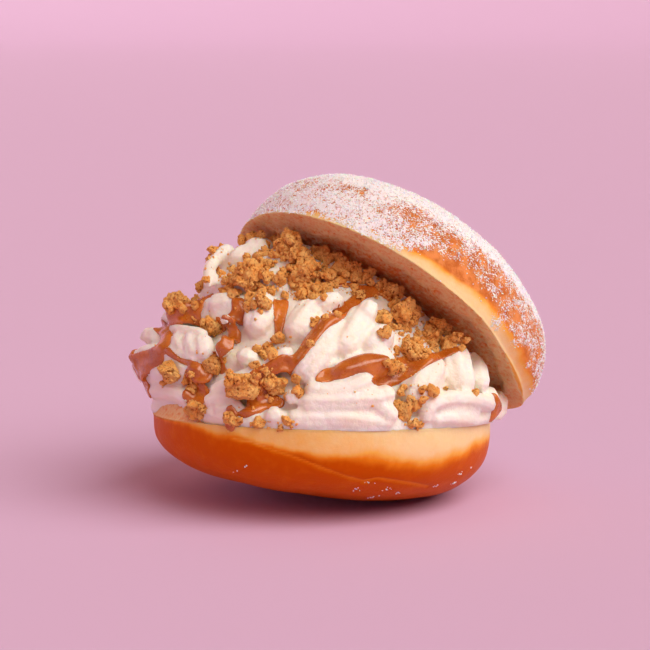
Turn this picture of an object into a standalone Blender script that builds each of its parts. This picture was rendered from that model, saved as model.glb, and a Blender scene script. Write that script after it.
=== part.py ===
# A round yeast doughnut, split and opened like a clam, filled with piped cream that
# carries caramel and broken biscuit.
#
# Everything is worked out in millimetres and turned into metres at the very end. +Z is
# up, the mouth opens to -X and -Y, and the origin lies on the flat spot that the lower
# half rests on, near the spot's middle. An angle is a compass angle about Z in degrees,
# with 0 along +X and 270 towards the front. A rise says how far up the cream's flank a
# point is: 0 on the lower half's rim and 1 where the cream meets the lid.
import math
import random

import bmesh
import bpy
from mathutils import Matrix, Vector, noise
from mathutils.bvhtree import BVHTree

MM = 0.001
GAP = 0.3
CUTTER_SIZE = 260.0
SHARP_EDGE = math.radians(40)

# The two halves of the bun
RIM_RADIUS = 46.2
RIM_CENTRE = Vector((-8.0, -13.0, 22.4))
BASE_ROLL = math.radians(1.0)
BASE_PITCH = math.radians(5.5)
BASE_DEPTH = 21.0
BASE_FULLNESS = 2.95
BASE_DEEPER_ON_THE_RIGHT = 0.19
SAG = 0.9
SAG_REACH = 5.0

LID_CENTRE = RIM_CENTRE + Vector((15.7, 12.3, 23.4))
LID_TILT = math.radians(44.6)
LID_HEADING = math.radians(42.2)
LID_DEPTH = 29.2
LID_FULLNESS = 2.8
# How far the lid's rim is from its centre: flattened where it leans on the lower half
LID_RIM = [(0, 44.6), (10, 41.8), (20, 40.9), (32, 41.2), (42, 41.8), (52, 42.3), (62, 43.2), (72, 44.3),
           (82, 45.3), (95, 46.2), (180, 46.2), (270, 46.2), (315, 46.3), (330, 46.7), (342, 47.3),
           (351, 47.1)]

BUN_SEGMENTS = 48
BUN_RINGS = 24

# The cream's mound: how far it reaches from the lid's centre, and how far its flank
# bulges beyond a straight line from rim to lid, each by compass angle
CREAM_RIM_RADIUS = 45.0
REACH = [(0, 39), (40, 41), (90, 41), (135, 41), (170, 41), (190, 40), (214, 35.5), (230, 32),
         (250, 30), (270, 28.5), (290, 27), (310, 26.5), (330, 29.5), (345, 33)]
BULGE = [(0, 4), (45, 3), (135, 5), (170, 7), (190, 7.5), (207, 9), (225, 9.5), (250, 9), (280, 8),
         (310, 7.5), (335, 6)]
BULGE_LEAN = 0.9
BULGE_FULLNESS = 0.8
LID_SHARE_OF_OUTWARD = 0.9
CORE_INSET = 3.5
CORE_ANGLE_STEP = 15
CORE_FIRST_ANGLE = 90
CORE_RISES = [0, 0.1, 0.2, 0.3, 0.4, 0.5, 0.6, 0.7, 0.8, 0.9, 1, 1.08]
CREAM_VOXEL = 0.7
CREAM_TRIANGLES = 7400

# Ropes of piped cream: name, radius, then stops of angle, rise and how far the rope's
# crest stands out of the mound
ROPE_RIDGES = 6
RIDGE_DEPTH = 0.2
ROPE_STEP = 5.0
ROPE_TWIST_PER_MM = math.radians(1.2)
END_RING_SHARE = 0.35
END_RADIUS_SHARE = 0.35
ROPES = [
    ("skirt", 4.6, [(74, 0.1, 0), (100, 0.06, 0.5), (140, 0.05, 1), (175, 0.05, 1.2), (192, 0.07, -1),
                    (206, 0.1, -2.6), (222, 0.08, -1.6), (250, 0.05, -0.4), (290, 0.04, -0.4),
                    (330, 0.05, -0.2), (358, 0.08, 0), (372, 0.12, -0.5)]),
    ("back low", 5.8, [(84, 0.34, 0), (110, 0.27, 1), (145, 0.24, 2), (172, 0.22, 3), (188, 0.21, 3.6)]),
    ("back middle", 6.0, [(92, 0.56, 0.5), (120, 0.5, 1.2), (150, 0.46, 2), (178, 0.45, 2),
                          (198, 0.43, 1.4)]),
    ("back high", 6.0, [(100, 0.78, 0.5), (130, 0.72, 1), (160, 0.69, 1.6), (185, 0.67, 1),
                        (206, 0.66, 0.6)]),
    ("back top", 5.2, [(112, 0.96, 0), (145, 0.92, 0.5), (178, 0.89, 1.2), (203, 0.9, 1.6)]),
    ("left low tip", 2.9, [(186, 0.12, 5.6), (191.5, 0.15, 3.8), (201, 0.165, 3.2), (207.5, 0.185, 2.6),
                           (214, 0.19, 2.2), (219, 0.195, 1.6), (223, 0.19, 1)]),
    ("left foot", 2.4, [(188, 0.085, 2.8), (199.5, 0.095, 2.2), (207, 0.1, 1.8), (214, 0.095, 1.4),
                        (220, 0.085, 1)]),
    ("left middle tip", 2.4, [(187, 0.165, 10.5), (191.5, 0.19, 9), (196, 0.22, 7.6), (199.5, 0.24, 5.8),
                              (207, 0.24, 4), (213.5, 0.24, 2.8), (220.5, 0.23, 2)]),
    ("left upper tip", 2.7, [(188, 0.27, 10.7), (188.5, 0.3, 8.8), (193.5, 0.305, 7), (195.5, 0.315, 4.8),
                             (203, 0.305, 3.2), (210, 0.29, 2.2)]),
    ("finger", 1.7, [(191.5, 0.36, 3.3), (202, 0.36, 3.2), (208.5, 0.355, 2.8), (214, 0.355, 2.2),
                     (218.5, 0.345, 1.6)]),
    ("left belly high", 5.2, [(184, 0.24, 10.2), (183.5, 0.275, 5.8), (192.5, 0.295, 4), (206, 0.305, 2.2),
                              (216.5, 0.32, 1.4)]),
    ("left belly", 5.6, [(184.5, 0.14, 13), (183, 0.18, 8.4), (197.5, 0.205, 5), (209, 0.22, 3),
                         (218, 0.225, 1.4)]),
    ("pleat 1", 2.6, [(203.5, 0.345, 3.2), (208.5, 0.29, 3.6), (213.5, 0.25, 3)]),
    ("pleat 2", 2.7, [(210, 0.345, 2.8), (215.5, 0.285, 3.3), (219, 0.24, 2.8)]),
    ("pleat 3", 2.7, [(215.5, 0.35, 2.4), (220, 0.285, 2.8), (222.5, 0.24, 2.3)]),
    ("pleat 4", 2.2, [(224.5, 0.37, 1.5), (226.5, 0.31, 1.8), (226, 0.265, 1.4)]),
    ("ledge", 2.8, [(188, 0.41, 5.6), (196.5, 0.43, 5.2), (201, 0.46, 4.2), (203.5, 0.505, 2.6)]),
    ("grey fold", 3.2, [(210, 0.515, 3), (213.5, 0.52, 2.8), (216.5, 0.54, 2.3), (219, 0.565, 1.6)]),
    ("lump under curl", 2.8, [(205, 0.63, 3), (209.5, 0.635, 2.8), (213.5, 0.645, 2.3), (217, 0.66, 1.4)]),
    ("top curl", 3.1, [(193, 0.75, 4.6), (195.5, 0.775, 4.2), (199, 0.79, 3.4), (203.5, 0.795, 2.2)]),
    ("tube", 1.9, [(198, 0.85, 5.2), (198.5, 0.8, 5.9), (199, 0.755, 5.9), (200.5, 0.7, 5.9),
                   (206, 0.635, 5.9), (210.5, 0.57, 5.4)]),
    ("white lump", 3.5, [(204, 0.735, 4.2), (203.5, 0.795, 4.2), (204.5, 0.84, 3.6), (209.5, 0.84, 2.4)]),
    ("high lump", 2.8, [(203, 0.84, 4.2), (204, 0.88, 3.8), (209, 0.885, 2.4)]),
    ("small lump", 1.9, [(220.5, 0.455, 1.9), (223.5, 0.42, 2)]),
    ("upper body", 5.4, [(195, 0.525, 1.4), (210, 0.51, 1), (218.5, 0.525, 0.9), (224, 0.575, 0.9)]),
    ("upper body 2", 5.4, [(197, 0.615, 1.6), (206, 0.63, 1.2), (214.5, 0.655, 1), (222, 0.7, 0.9),
                           (227.5, 0.78, 0.6)]),
    ("upper body 3", 5.4, [(189, 0.775, 2.2), (201.5, 0.755, 1.6), (209.5, 0.785, 1), (219, 0.845, 0.8),
                           (229.5, 0.895, 0.4)]),
    ("panel high", 4.6, [(225, 0.63, 1), (228.5, 0.545, 1.5), (231, 0.465, 1.6), (231.5, 0.41, 1.4)]),
    ("panel low", 3.7, [(234.5, 0.345, 1.9), (235, 0.295, 1.6), (234.5, 0.255, 1)]),
    ("third panel", 4.1, [(246, 0.66, 1.6), (245.5, 0.57, 1.6), (245.5, 0.49, 1.4), (245.5, 0.42, 1.2)]),
    ("bright band", 2.8, [(254.5, 0.71, 2.2), (250.5, 0.67, 2.2), (247.5, 0.61, 1.8)]),
    ("front strip", 2.4, [(248.5, 0.365, 1.8), (247, 0.31, 1.5), (244.5, 0.26, 1.3), (241.5, 0.215, 2),
                          (237.5, 0.175, 2.2), (233, 0.14, 2.2), (228.5, 0.105, 1.8)]),
    ("second strip", 2.1, [(245, 0.19, 1.3), (240, 0.155, 1.7), (235.5, 0.115, 2), (230, 0.085, 2),
                           (227.5, 0.065, 1.6)]),
    ("third strip", 2.4, [(241, 0.085, 1.2), (236.5, 0.065, 1.8), (231, 0.06, 1.5)]),
    ("left front foot", 3.0, [(224.5, 0.08, 0.2), (234.5, 0.05, 0.6), (242.5, 0.045, 0.6),
                              (249.5, 0.045, 0.6)]),
    ("pink lump", 2.7, [(249.5, 0.06, 1.3), (253, 0.05, 1.9), (256, 0.065, 1.5)]),
    ("near lump", 2.2, [(253.5, 0.135, 1.6), (256.5, 0.13, 1.9), (259.5, 0.12, 1.4)]),
    ("middle panel", 5.2, [(257, 0.625, 1.2), (257, 0.5, 1.7), (257, 0.395, 1.7), (256, 0.3, 1.3),
                           (255, 0.225, 0.9)]),
    ("peak", 2.9, [(263.5, 0.75, 3.4), (264.5, 0.68, 3.2), (264.5, 0.61, 2.2)]),
    ("peak flank", 4.4, [(263.5, 0.715, 1.8), (263.5, 0.585, 1.9), (263.5, 0.47, 1.7), (262.5, 0.39, 1.2)]),
    ("right shadow", 4.0, [(274.5, 0.65, 1), (272.5, 0.52, 1.4), (271, 0.44, 1.2)]),
    ("front fold", 2.8, [(277.5, 0.295, 1.8), (274.5, 0.235, 2.2), (271.5, 0.2, 2), (267, 0.19, 1.7),
                         (262.5, 0.185, 1.4), (258, 0.185, 1.2)]),
    ("pour bed", 4.4, [(281, 0.485, 1), (275.5, 0.385, 1.2), (269.5, 0.315, 1.2), (263.5, 0.265, 1)]),
    ("white band", 3.0, [(258.5, 0.12, 1.2), (265, 0.13, 1.7), (271.5, 0.145, 2), (277.5, 0.16, 2.3),
                         (282.5, 0.18, 2.4), (286.5, 0.225, 2)]),
    ("white band end", 2.6, [(281.5, 0.15, 2), (286.5, 0.11, 2), (292.5, 0.055, 1.6)]),
    ("bottom band", 3.1, [(256.5, 0.05, 0.8), (265, 0.055, 1.1), (274, 0.065, 1.3), (282.5, 0.065, 1.1),
                          (293.5, 0.05, 0.7)]),
    ("broad panel", 5.4, [(298.5, 0.565, 1.4), (296.5, 0.385, 1.9), (296, 0.26, 1.9), (298, 0.14, 1.4)]),
    ("right panel", 5.0, [(310.5, 0.78, 1.4), (310.5, 0.565, 1.7), (314, 0.41, 1.5), (319.5, 0.295, 1)]),
    ("scallop", 3.0, [(323.5, 0.88, 0.8), (326, 0.765, 1.2), (324, 0.54, 1.3), (326.5, 0.38, 1)]),
    ("right curl", 2.2, [(304, 0.025, 1.4), (301.5, 0.095, 2.3), (301.5, 0.155, 2.7), (305.5, 0.2, 2.6),
                         (312.5, 0.225, 2.2), (322, 0.245, 1.8), (335.5, 0.25, 1.2)]),
    ("lower tube", 2.0, [(305.5, 0.045, 1.6), (310, 0.06, 2.1), (317.5, 0.065, 1.9), (330.5, 0.045, 1.3),
                         (349, 0.045, 0.8)]),
    ("right end fold", 2.6, [(327.5, 0.355, 1.2), (335.5, 0.285, 1.3), (345.5, 0.155, 1)]),
    ("far right", 5.4, [(336, 0.06, 0), (339, 0.3, 0.6), (334, 0.58, 0.5)]),
    ("right end", 4.6, [(352, 0.08, 0), (356, 0.4, 0.6), (350, 0.75, 0)]),
]

# Caramel poured over the cream: name, radius, then stops of angle and rise
CARAMEL_STEP = 3.5
CARAMEL_SINK = 0.45
CARAMEL = [
    ("left pour", 2.4, [(194, 0.39), (203.5, 0.29), (203, 0.21), (193.5, 0.15), (189.5, 0.11)]),
    ("left wrap", 1.8, [(187, 0.25), (189, 0.18), (191, 0.13)]),
    ("under the fan", 1.6, [(208, 0.235), (216, 0.215), (223, 0.2)]),
    ("low patch", 2.4, [(221.5, 0.23), (221, 0.16), (221.5, 0.1), (222, 0.05)]),
    ("second stripe", 1.7, [(219.5, 0.58), (222.5, 0.48), (225, 0.38), (225.5, 0.3), (223.5, 0.23)]),
    ("third stripe", 1.4, [(231.5, 0.65), (235.5, 0.56), (240, 0.43)]),
    ("loop", 1.4, [(244, 0.82), (250, 0.86), (257, 0.88), (265, 0.92), (272, 0.89)]),
    ("long pour", 2.0, [(262.5, 0.91), (257.5, 0.8), (255.5, 0.62), (253.5, 0.45), (251.5, 0.3), (246, 0.23),
                        (244, 0.16)]),
    ("pool", 2.4, [(246, 0.16), (244, 0.1), (242, 0.04)]),
    ("pool arm", 1.7, [(244.5, 0.16), (249.5, 0.13), (254, 0.14)]),
    ("right pour", 2.4, [(261.5, 0.22), (267.5, 0.3), (275, 0.37), (280.5, 0.39)]),
    ("right band", 1.4, [(277, 0.25), (287, 0.36), (294.5, 0.5), (304, 0.66)]),
    ("right back band", 1.8, [(281.5, 0.41), (289, 0.52), (297, 0.66)]),
    ("right end drip", 1.5, [(336, 0.26), (344, 0.16), (350, 0.05)]),
    ("back pour", 2.3, [(128, 0.86), (133, 0.62), (130, 0.38), (124, 0.20)]),
    ("far back pour", 2.1, [(160, 0.90), (164, 0.66), (158, 0.44), (150, 0.26)]),
]

# Biscuit pieces as large as berries: angle, rise, radius and length over width
CHUNKS = [
    (192, 0.49, 4.0, 1.2), (214, 0.43, 3.2, 1.0), (211, 0.15, 3.2, 1.1), (224, 0.25, 3.0, 1.1),
    (241, 0.125, 3.8, 1.1), (220, 0.665, 3.4, 1.1), (231.5, 0.56, 2.3, 1.2), (234, 0.80, 3.5, 1.1),
    (269, 0.69, 2.9, 1.2), (280, 0.80, 3.7, 1.2), (287, 0.55, 3.5, 1.2), (304, 0.73, 2.4, 1.1),
    (298.5, 0.86, 2.4, 1.1), (294, 0.145, 2.7, 1.2), (220.5, 0.91, 3.2, 1.2), (249, 0.2, 2.2, 1.1),
    (158, 0.56, 3.7, 1.2), (134, 0.72, 3.3, 1.1),
]
CHUNK_LIFT = 0.35
CHUNK_TURN = 2.4
CHUNK_LEAN = 0.4
LUMPINESS = 0.48
LUMPS_ACROSS = 1.7
SEAT_GAP = 1.6 * GAP

# Smaller crumbs, fused to the cream: centre angle, centre rise, spreads and how many
CRUMB_BEDS = [
    (222, 0.86, 22, 0.09, 18), (240, 0.86, 12, 0.09, 12), (286, 0.68, 14, 0.14, 12), (184, 0.50, 8, 0.06, 4),
    (238, 0.30, 10, 0.12, 8), (150, 0.72, 30, 0.14, 8), (250, 0.20, 10, 0.06, 5), (292, 0.19, 5, 0.05, 3),
]
CRUMB_RADII = (1.3, 2.4)
CRUMB_LENGTH = 1.2
CRUMB_LIFT = 0.3
CRUMB_SEED = 11
HIGHEST_CRUMB = 0.97
DROP_HEIGHT = 25.0


def unit(x, y, z):
    return Vector((x, y, z)).normalized()


BASE_UP = unit(math.sin(BASE_ROLL), math.sin(BASE_PITCH), 1.0)
LID_UP = unit(math.sin(LID_TILT) * math.cos(LID_HEADING), math.sin(LID_TILT) * math.sin(LID_HEADING),
              math.cos(LID_TILT))
DOWNHILL = unit(LID_UP.z * math.cos(LID_HEADING), LID_UP.z * math.sin(LID_HEADING),
                -math.hypot(LID_UP.x, LID_UP.y))
ACROSS = unit(math.sin(LID_HEADING), -math.cos(LID_HEADING), 0.0)


def smooth_between(before, start, end, after, share):
    """A point on the smooth curve that runs from start to end, past before and after."""
    leaving = (end - before) / 2
    arriving = (after - start) / 2
    square = share * share
    cube = square * share
    return (start * (2 * cube - 3 * square + 1) + leaving * (cube - 2 * square + share)
            + end * (3 * square - 2 * cube) + arriving * (cube - square))


def round_table(table, angle):
    """Reads a smooth closed curve through a table of angle and value."""
    angle %= 360
    count = len(table)
    at = max(i for i in range(count) if table[i][0] <= angle)
    start, value = table[at]
    end = table[(at + 1) % count][0] + (360 if at + 1 == count else 0)
    return smooth_between(table[at - 1][1], value, table[(at + 1) % count][1],
                          table[(at + 2) % count][1], (angle - start) / (end - start))


def smooth_route(stops, step):
    """Points about a step apart on a smooth curve through the stops."""
    stops = [Vector(stop) for stop in stops]
    padded = [stops[0] * 2 - stops[1]] + stops + [stops[-1] * 2 - stops[-2]]
    route = []
    for before, start, end, after in zip(padded, padded[1:], padded[2:], padded[3:]):
        length = (mound_point(*start[:2]) - mound_point(*end[:2])).length
        pieces = max(1, round(length / step))
        route += [smooth_between(before, start, end, after, k / pieces) for k in range(pieces)]
    return route + [stops[-1]]


def mound_frame(angle):
    """The flank's foot on the rim, its top under the lid, and the way it faces."""
    heading = math.radians(angle)
    level = Vector((math.cos(heading), math.sin(heading), 0.0))
    on_base = (level - BASE_UP * level.dot(BASE_UP)).normalized()
    off_slope = heading - LID_HEADING
    on_lid = DOWNHILL * math.cos(off_slope) + ACROSS * level.dot(ACROSS)
    foot = RIM_CENTRE + on_base * CREAM_RIM_RADIUS
    top = LID_CENTRE + on_lid * round_table(REACH, angle)
    along = (top - foot).normalized()
    out = on_base + on_lid * LID_SHARE_OF_OUTWARD
    out = (out - along * out.dot(along)).normalized()
    return foot, top, out


def mound_point(angle, rise, lift=0.0):
    """A point over the cream's flank, with lift counted outwards from its surface."""
    foot, top, out = mound_frame(angle)
    share = min(max(rise, 0.0), 1.0)
    swell = max(0.0, math.sin(math.pi * share ** BULGE_LEAN)) ** BULGE_FULLNESS
    return foot.lerp(top, rise) + out * (swell * round_table(BULGE, angle) + lift)


def new_object(name, mesh, collection):
    obj = bpy.data.objects.new(name, mesh)
    collection.objects.link(obj)
    return obj


def new_collection(name):
    collection = bpy.data.collections.new(name)
    bpy.context.scene.collection.children.link(collection)
    return collection


def mesh_of(bm, name):
    mesh = bpy.data.meshes.new(name)
    bm.to_mesh(mesh)
    bm.free()
    return mesh


def baked(obj):
    """The object's evaluated mesh, as a new mesh."""
    bpy.context.view_layer.update()
    graph = bpy.context.evaluated_depsgraph_get()
    return bpy.data.meshes.new_from_object(obj.evaluated_get(graph), depsgraph=graph)


def principled(name, colour, roughness):
    material = bpy.data.materials.new(name)
    material.use_nodes = True
    shader = material.node_tree.nodes["Principled BSDF"]
    shader.inputs["Base Color"].default_value = (*colour, 1.0)
    shader.inputs["Roughness"].default_value = roughness
    shader.inputs["Metallic"].default_value = 0.0
    return material


def bun_half(name, centre, dome, radius_at, fullness, depth, deeper_on_the_right=0.0):
    """Half a bun: a round ball cut through the middle, then swelled into a fuller dome."""
    bm = bmesh.new()
    bmesh.ops.create_uvsphere(bm, u_segments=BUN_SEGMENTS, v_segments=BUN_RINGS, radius=1.0)
    bmesh.ops.bisect_plane(bm, geom=bm.verts[:] + bm.edges[:] + bm.faces[:], plane_co=(0, 0, 0),
                           plane_no=(0, 0, 1), clear_inner=True, dist=0.001)
    rim = [edge for edge in bm.edges if edge.is_boundary]
    bmesh.ops.contextual_create(bm, geom=rim)
    side = (Vector((1, 0, 0)) - dome * dome.x).normalized()
    turn = Matrix((side, dome.cross(side), dome)).transposed()
    for vert in bm.verts:
        angle = math.atan2(vert.co.y, vert.co.x)
        out = min(1.0, math.hypot(vert.co.x, vert.co.y))
        up = math.sqrt(1.0 - out * out) if out < 0.9999 else 0.0
        power = 2.0 / fullness
        share = out ** power
        reach = radius_at(turn @ Vector((math.cos(angle), math.sin(angle), 0.0))) * share
        deeper = 1.0 + deeper_on_the_right * share * math.cos(angle)
        vert.co = (reach * math.cos(angle), reach * math.sin(angle), depth * up ** power * deeper)
    bm.transform(Matrix.Translation(centre) @ turn.to_4x4())
    bmesh.ops.recalc_face_normals(bm, faces=bm.faces)
    return mesh_of(bm, name)


def base_mesh():
    """The lower half, whose underside has sagged under its own weight into a flat spot."""
    mesh = bun_half("bun_base", RIM_CENTRE, -BASE_UP, lambda way: RIM_RADIUS, BASE_FULLNESS, BASE_DEPTH,
                    BASE_DEEPER_ON_THE_RIGHT)
    bm = bmesh.new()
    bm.from_mesh(mesh)
    for vert in bm.verts:
        if vert.co.z < SAG_REACH:
            vert.co.z -= SAG * (1 - vert.co.z / SAG_REACH)
    bmesh.ops.bisect_plane(bm, geom=bm.verts[:] + bm.edges[:] + bm.faces[:], plane_co=(0, 0, 0),
                           plane_no=(0, 0, -1), clear_outer=True, dist=0.01)
    bmesh.ops.contextual_create(bm, geom=[edge for edge in bm.edges if edge.is_boundary])
    bmesh.ops.recalc_face_normals(bm, faces=bm.faces)
    return mesh_of(bm, "bun_base")


def lid_radius(way):
    off_hinge = math.atan2(way.dot(ACROSS), way.dot(DOWNHILL))
    return round_table(LID_RIM, math.degrees(LID_HEADING - off_hinge))


def lid_mesh():
    return bun_half("bun_lid", LID_CENTRE, LID_UP, lid_radius, LID_FULLNESS, LID_DEPTH)


def core_mesh():
    """The plain mass of cream inside the ropes, as the hull of points under the flank."""
    bm = bmesh.new()
    for angle in range(CORE_FIRST_ANGLE, 361, CORE_ANGLE_STEP):
        for rise in CORE_RISES:
            bm.verts.new(mound_point(angle, rise, -CORE_INSET))
    for angle in range(0, 360, CORE_ANGLE_STEP):
        foot = mound_frame(angle)[0]
        inner = RIM_CENTRE.lerp(foot, 1 - CORE_INSET / CREAM_RIM_RADIUS)
        bm.verts.new(inner - BASE_UP)
    hull = bmesh.ops.convex_hull(bm, input=bm.verts)
    bmesh.ops.delete(bm, geom=[v for v in hull["geom_interior"] if isinstance(v, bmesh.types.BMVert)],
                     context="VERTS")
    bmesh.ops.recalc_face_normals(bm, faces=bm.faces)
    return mesh_of(bm, "core")


def star_outline():
    """The star-shaped mouth of the piping nozzle, one millimetre in radius."""
    curve = bpy.data.curves.new("star", "CURVE")
    curve.dimensions = "2D"
    spline = curve.splines.new("POLY")
    spline.points.add(2 * ROPE_RIDGES - 1)
    for k, point in enumerate(spline.points):
        turn = math.pi * k / ROPE_RIDGES
        reach = 1.0 if k % 2 == 0 else 1.0 - RIDGE_DEPTH
        point.co = (reach * math.cos(turn), reach * math.sin(turn), 0, 1)
    spline.use_cyclic_u = True
    return curve


def tube(name, points, radii, twists, collection, star=None):
    """A closed tube along the points, round or star-shaped, as a welded mesh."""
    curve = bpy.data.curves.new(name, "CURVE")
    curve.dimensions = "3D"
    curve.use_fill_caps = True
    if star is None:
        curve.bevel_depth = 1.0
        curve.bevel_resolution = 1
    else:
        curve.bevel_mode = "OBJECT"
        curve.bevel_object = star
    spline = curve.splines.new("POLY")
    spline.points.add(len(points) - 1)
    for point, place, radius, twist in zip(spline.points, points, radii, twists):
        point.co = (*place, 1)
        point.radius = radius
        point.tilt = twist
    source = new_object(name, curve, collection)
    bm = bmesh.new()
    bm.from_mesh(baked(source))
    bpy.data.objects.remove(source)
    bmesh.ops.remove_doubles(bm, verts=bm.verts, dist=0.01)
    bmesh.ops.recalc_face_normals(bm, faces=bm.faces)
    return new_object(name, mesh_of(bm, name), collection)


def rounded_radii(points, radius):
    """Radii along a tube that draws in at both ends like a thumb."""
    travelled = [0.0]
    for start, end in zip(points, points[1:]):
        travelled.append(travelled[-1] + (end - start).length)
    radii = []
    for distance in travelled:
        to_end = min(distance, travelled[-1] - distance)
        drawn_in = 1 - min(to_end / radius, 1.0)
        radii.append(radius * max(END_RADIUS_SHARE, math.sqrt(1 - drawn_in ** 2)))
    return radii, travelled


def pipe_rope(name, radius, stops, star, collection):
    """A rope of cream along its route, with an extra ring close to each end."""
    route = smooth_route(stops, ROPE_STEP)
    points = [mound_point(angle, rise, crest - radius) for angle, rise, crest in route]
    points.insert(1, points[0].lerp(points[1], END_RING_SHARE))
    points.insert(-1, points[-1].lerp(points[-2], END_RING_SHARE))
    radii, travelled = rounded_radii(points, radius)
    tube(name, points, radii, [distance * ROPE_TWIST_PER_MM for distance in travelled], collection, star)


def tree_of(obj):
    bm = bmesh.new()
    bm.from_mesh(obj.data)
    tree = BVHTree.FromBMesh(bm)
    bm.free()
    return tree


def on_cream(tree, angle, rise):
    """Where something dropped on the flank at this angle and rise lands, and the way out."""
    out = mound_frame(angle)[2]
    return tree.ray_cast(mound_point(angle, rise, DROP_HEIGHT), -out)[0], out


def pour_caramel(name, radius, stops, tree, collection):
    """A thread of caramel laid on the cream, bridging its small hollows."""
    route = smooth_route([(*stop, 0.0) for stop in stops], CARAMEL_STEP)
    sunk = []
    for angle, rise, spare in route:
        place, out = on_cream(tree, angle, rise)
        sunk.append(place - out * (radius * CARAMEL_SINK))
    eased = [(before + here * 2 + after) / 4 for before, here, after in zip(sunk, sunk[1:], sunk[2:])]
    points = [sunk[0], *eased, sunk[-1]]
    radii = rounded_radii(points, radius)[0]
    tube(name, points, radii, [0.0] * len(points), collection)


def biscuit_bmesh(radius, length, detail, place, turn, seed):
    """A broken bit of biscuit: a small ball with a lumpy, uneven surface."""
    bm = bmesh.new()
    bmesh.ops.create_icosphere(bm, subdivisions=detail, radius=1.0)
    for vert in bm.verts:
        way = vert.co.normalized()
        lump = noise.noise(way * LUMPS_ACROSS + Vector((3.1, 1.7, 2.3)) * seed)
        vert.co = way * radius * (1 + LUMPINESS * lump)
        vert.co.x *= length
    bm.transform(Matrix.Translation(place) @ turn.to_matrix().to_4x4())
    return bm


def scatter_crumbs(tree, collection):
    """Small crumbs in beds on the cream, thickest where they fell from the lid's edge."""
    dice = random.Random(CRUMB_SEED)
    number = 0
    for angle, rise, angle_spread, rise_spread, count in CRUMB_BEDS:
        for spare in range(count):
            crumb_angle = dice.gauss(angle, angle_spread / 2)
            crumb_rise = min(HIGHEST_CRUMB, dice.gauss(rise, rise_spread / 2))
            radius = dice.uniform(*CRUMB_RADII)
            place, out = on_cream(tree, crumb_angle, crumb_rise)
            way = Vector((dice.gauss(0, 1), dice.gauss(0, 1), dice.gauss(0, 1)))
            turn = way.to_track_quat("X", "Z")
            number += 1
            bm = biscuit_bmesh(radius, CRUMB_LENGTH, 1, place + out * (radius * CRUMB_LIFT), turn, number)
            new_object(f"crumb_{number:02d}", mesh_of(bm, "crumb"), collection)


def plane_cutter(name, centre, facing, collection):
    """A big block that takes away everything beyond a plane."""
    size = CUTTER_SIZE
    bm = bmesh.new()
    bmesh.ops.create_cube(bm, size=size)
    turn = facing.to_track_quat("Z", "Y").to_matrix().to_4x4()
    bm.transform(Matrix.Translation(centre + facing * (size / 2)) @ turn)
    cutter = new_object(name, mesh_of(bm, name), collection)
    cutter.hide_render = True
    cutter.display_type = "WIRE"
    return cutter


def combine(obj, operation, collection):
    """Joins or cuts with everything in the collection, then removes the collection's objects."""
    step = obj.modifiers.new(operation.lower(), "BOOLEAN")
    step.operation = operation
    step.operand_type = "COLLECTION"
    step.collection = collection
    step.solver = "MANIFOLD"
    obj.data = baked(obj)
    obj.modifiers.clear()
    for used in list(collection.objects):
        bpy.data.objects.remove(used)


def even_out(obj, voxel, triangles):
    """Blends the joined shapes into one even skin and thins it to a number of triangles."""
    skin = obj.modifiers.new("skin", "REMESH")
    skin.mode = "VOXEL"
    skin.voxel_size = voxel
    obj.data = baked(obj)
    obj.modifiers.clear()
    thin = obj.modifiers.new("thin", "DECIMATE")
    thin.use_collapse_triangulate = True
    thin.ratio = triangles / (2 * len(obj.data.polygons))
    obj.data = baked(obj)
    obj.modifiers.clear()


def shells_of(bm):
    """The separate closed bodies of a mesh, as lists of faces."""
    left = set(bm.faces)
    shells = []
    while left:
        grow = [left.pop()]
        shell = []
        while grow:
            face = grow.pop()
            shell.append(face)
            for edge in face.edges:
                for other in edge.link_faces:
                    if other in left:
                        left.remove(other)
                        grow.append(other)
        shells.append(shell)
    return shells


def keep_one_body(obj):
    """Drops loose scraps and sealed hollows, and leaves triangles only."""
    bm = bmesh.new()
    bm.from_mesh(obj.data)
    bmesh.ops.triangulate(bm, faces=bm.faces)
    shells = sorted(shells_of(bm), key=len)
    for scrap in shells[:-1]:
        bmesh.ops.delete(bm, geom=scrap, context="FACES")
    bmesh.ops.delete(bm, geom=[vert for vert in bm.verts if not vert.link_faces], context="VERTS")
    bm.to_mesh(obj.data)
    bm.free()


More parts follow.
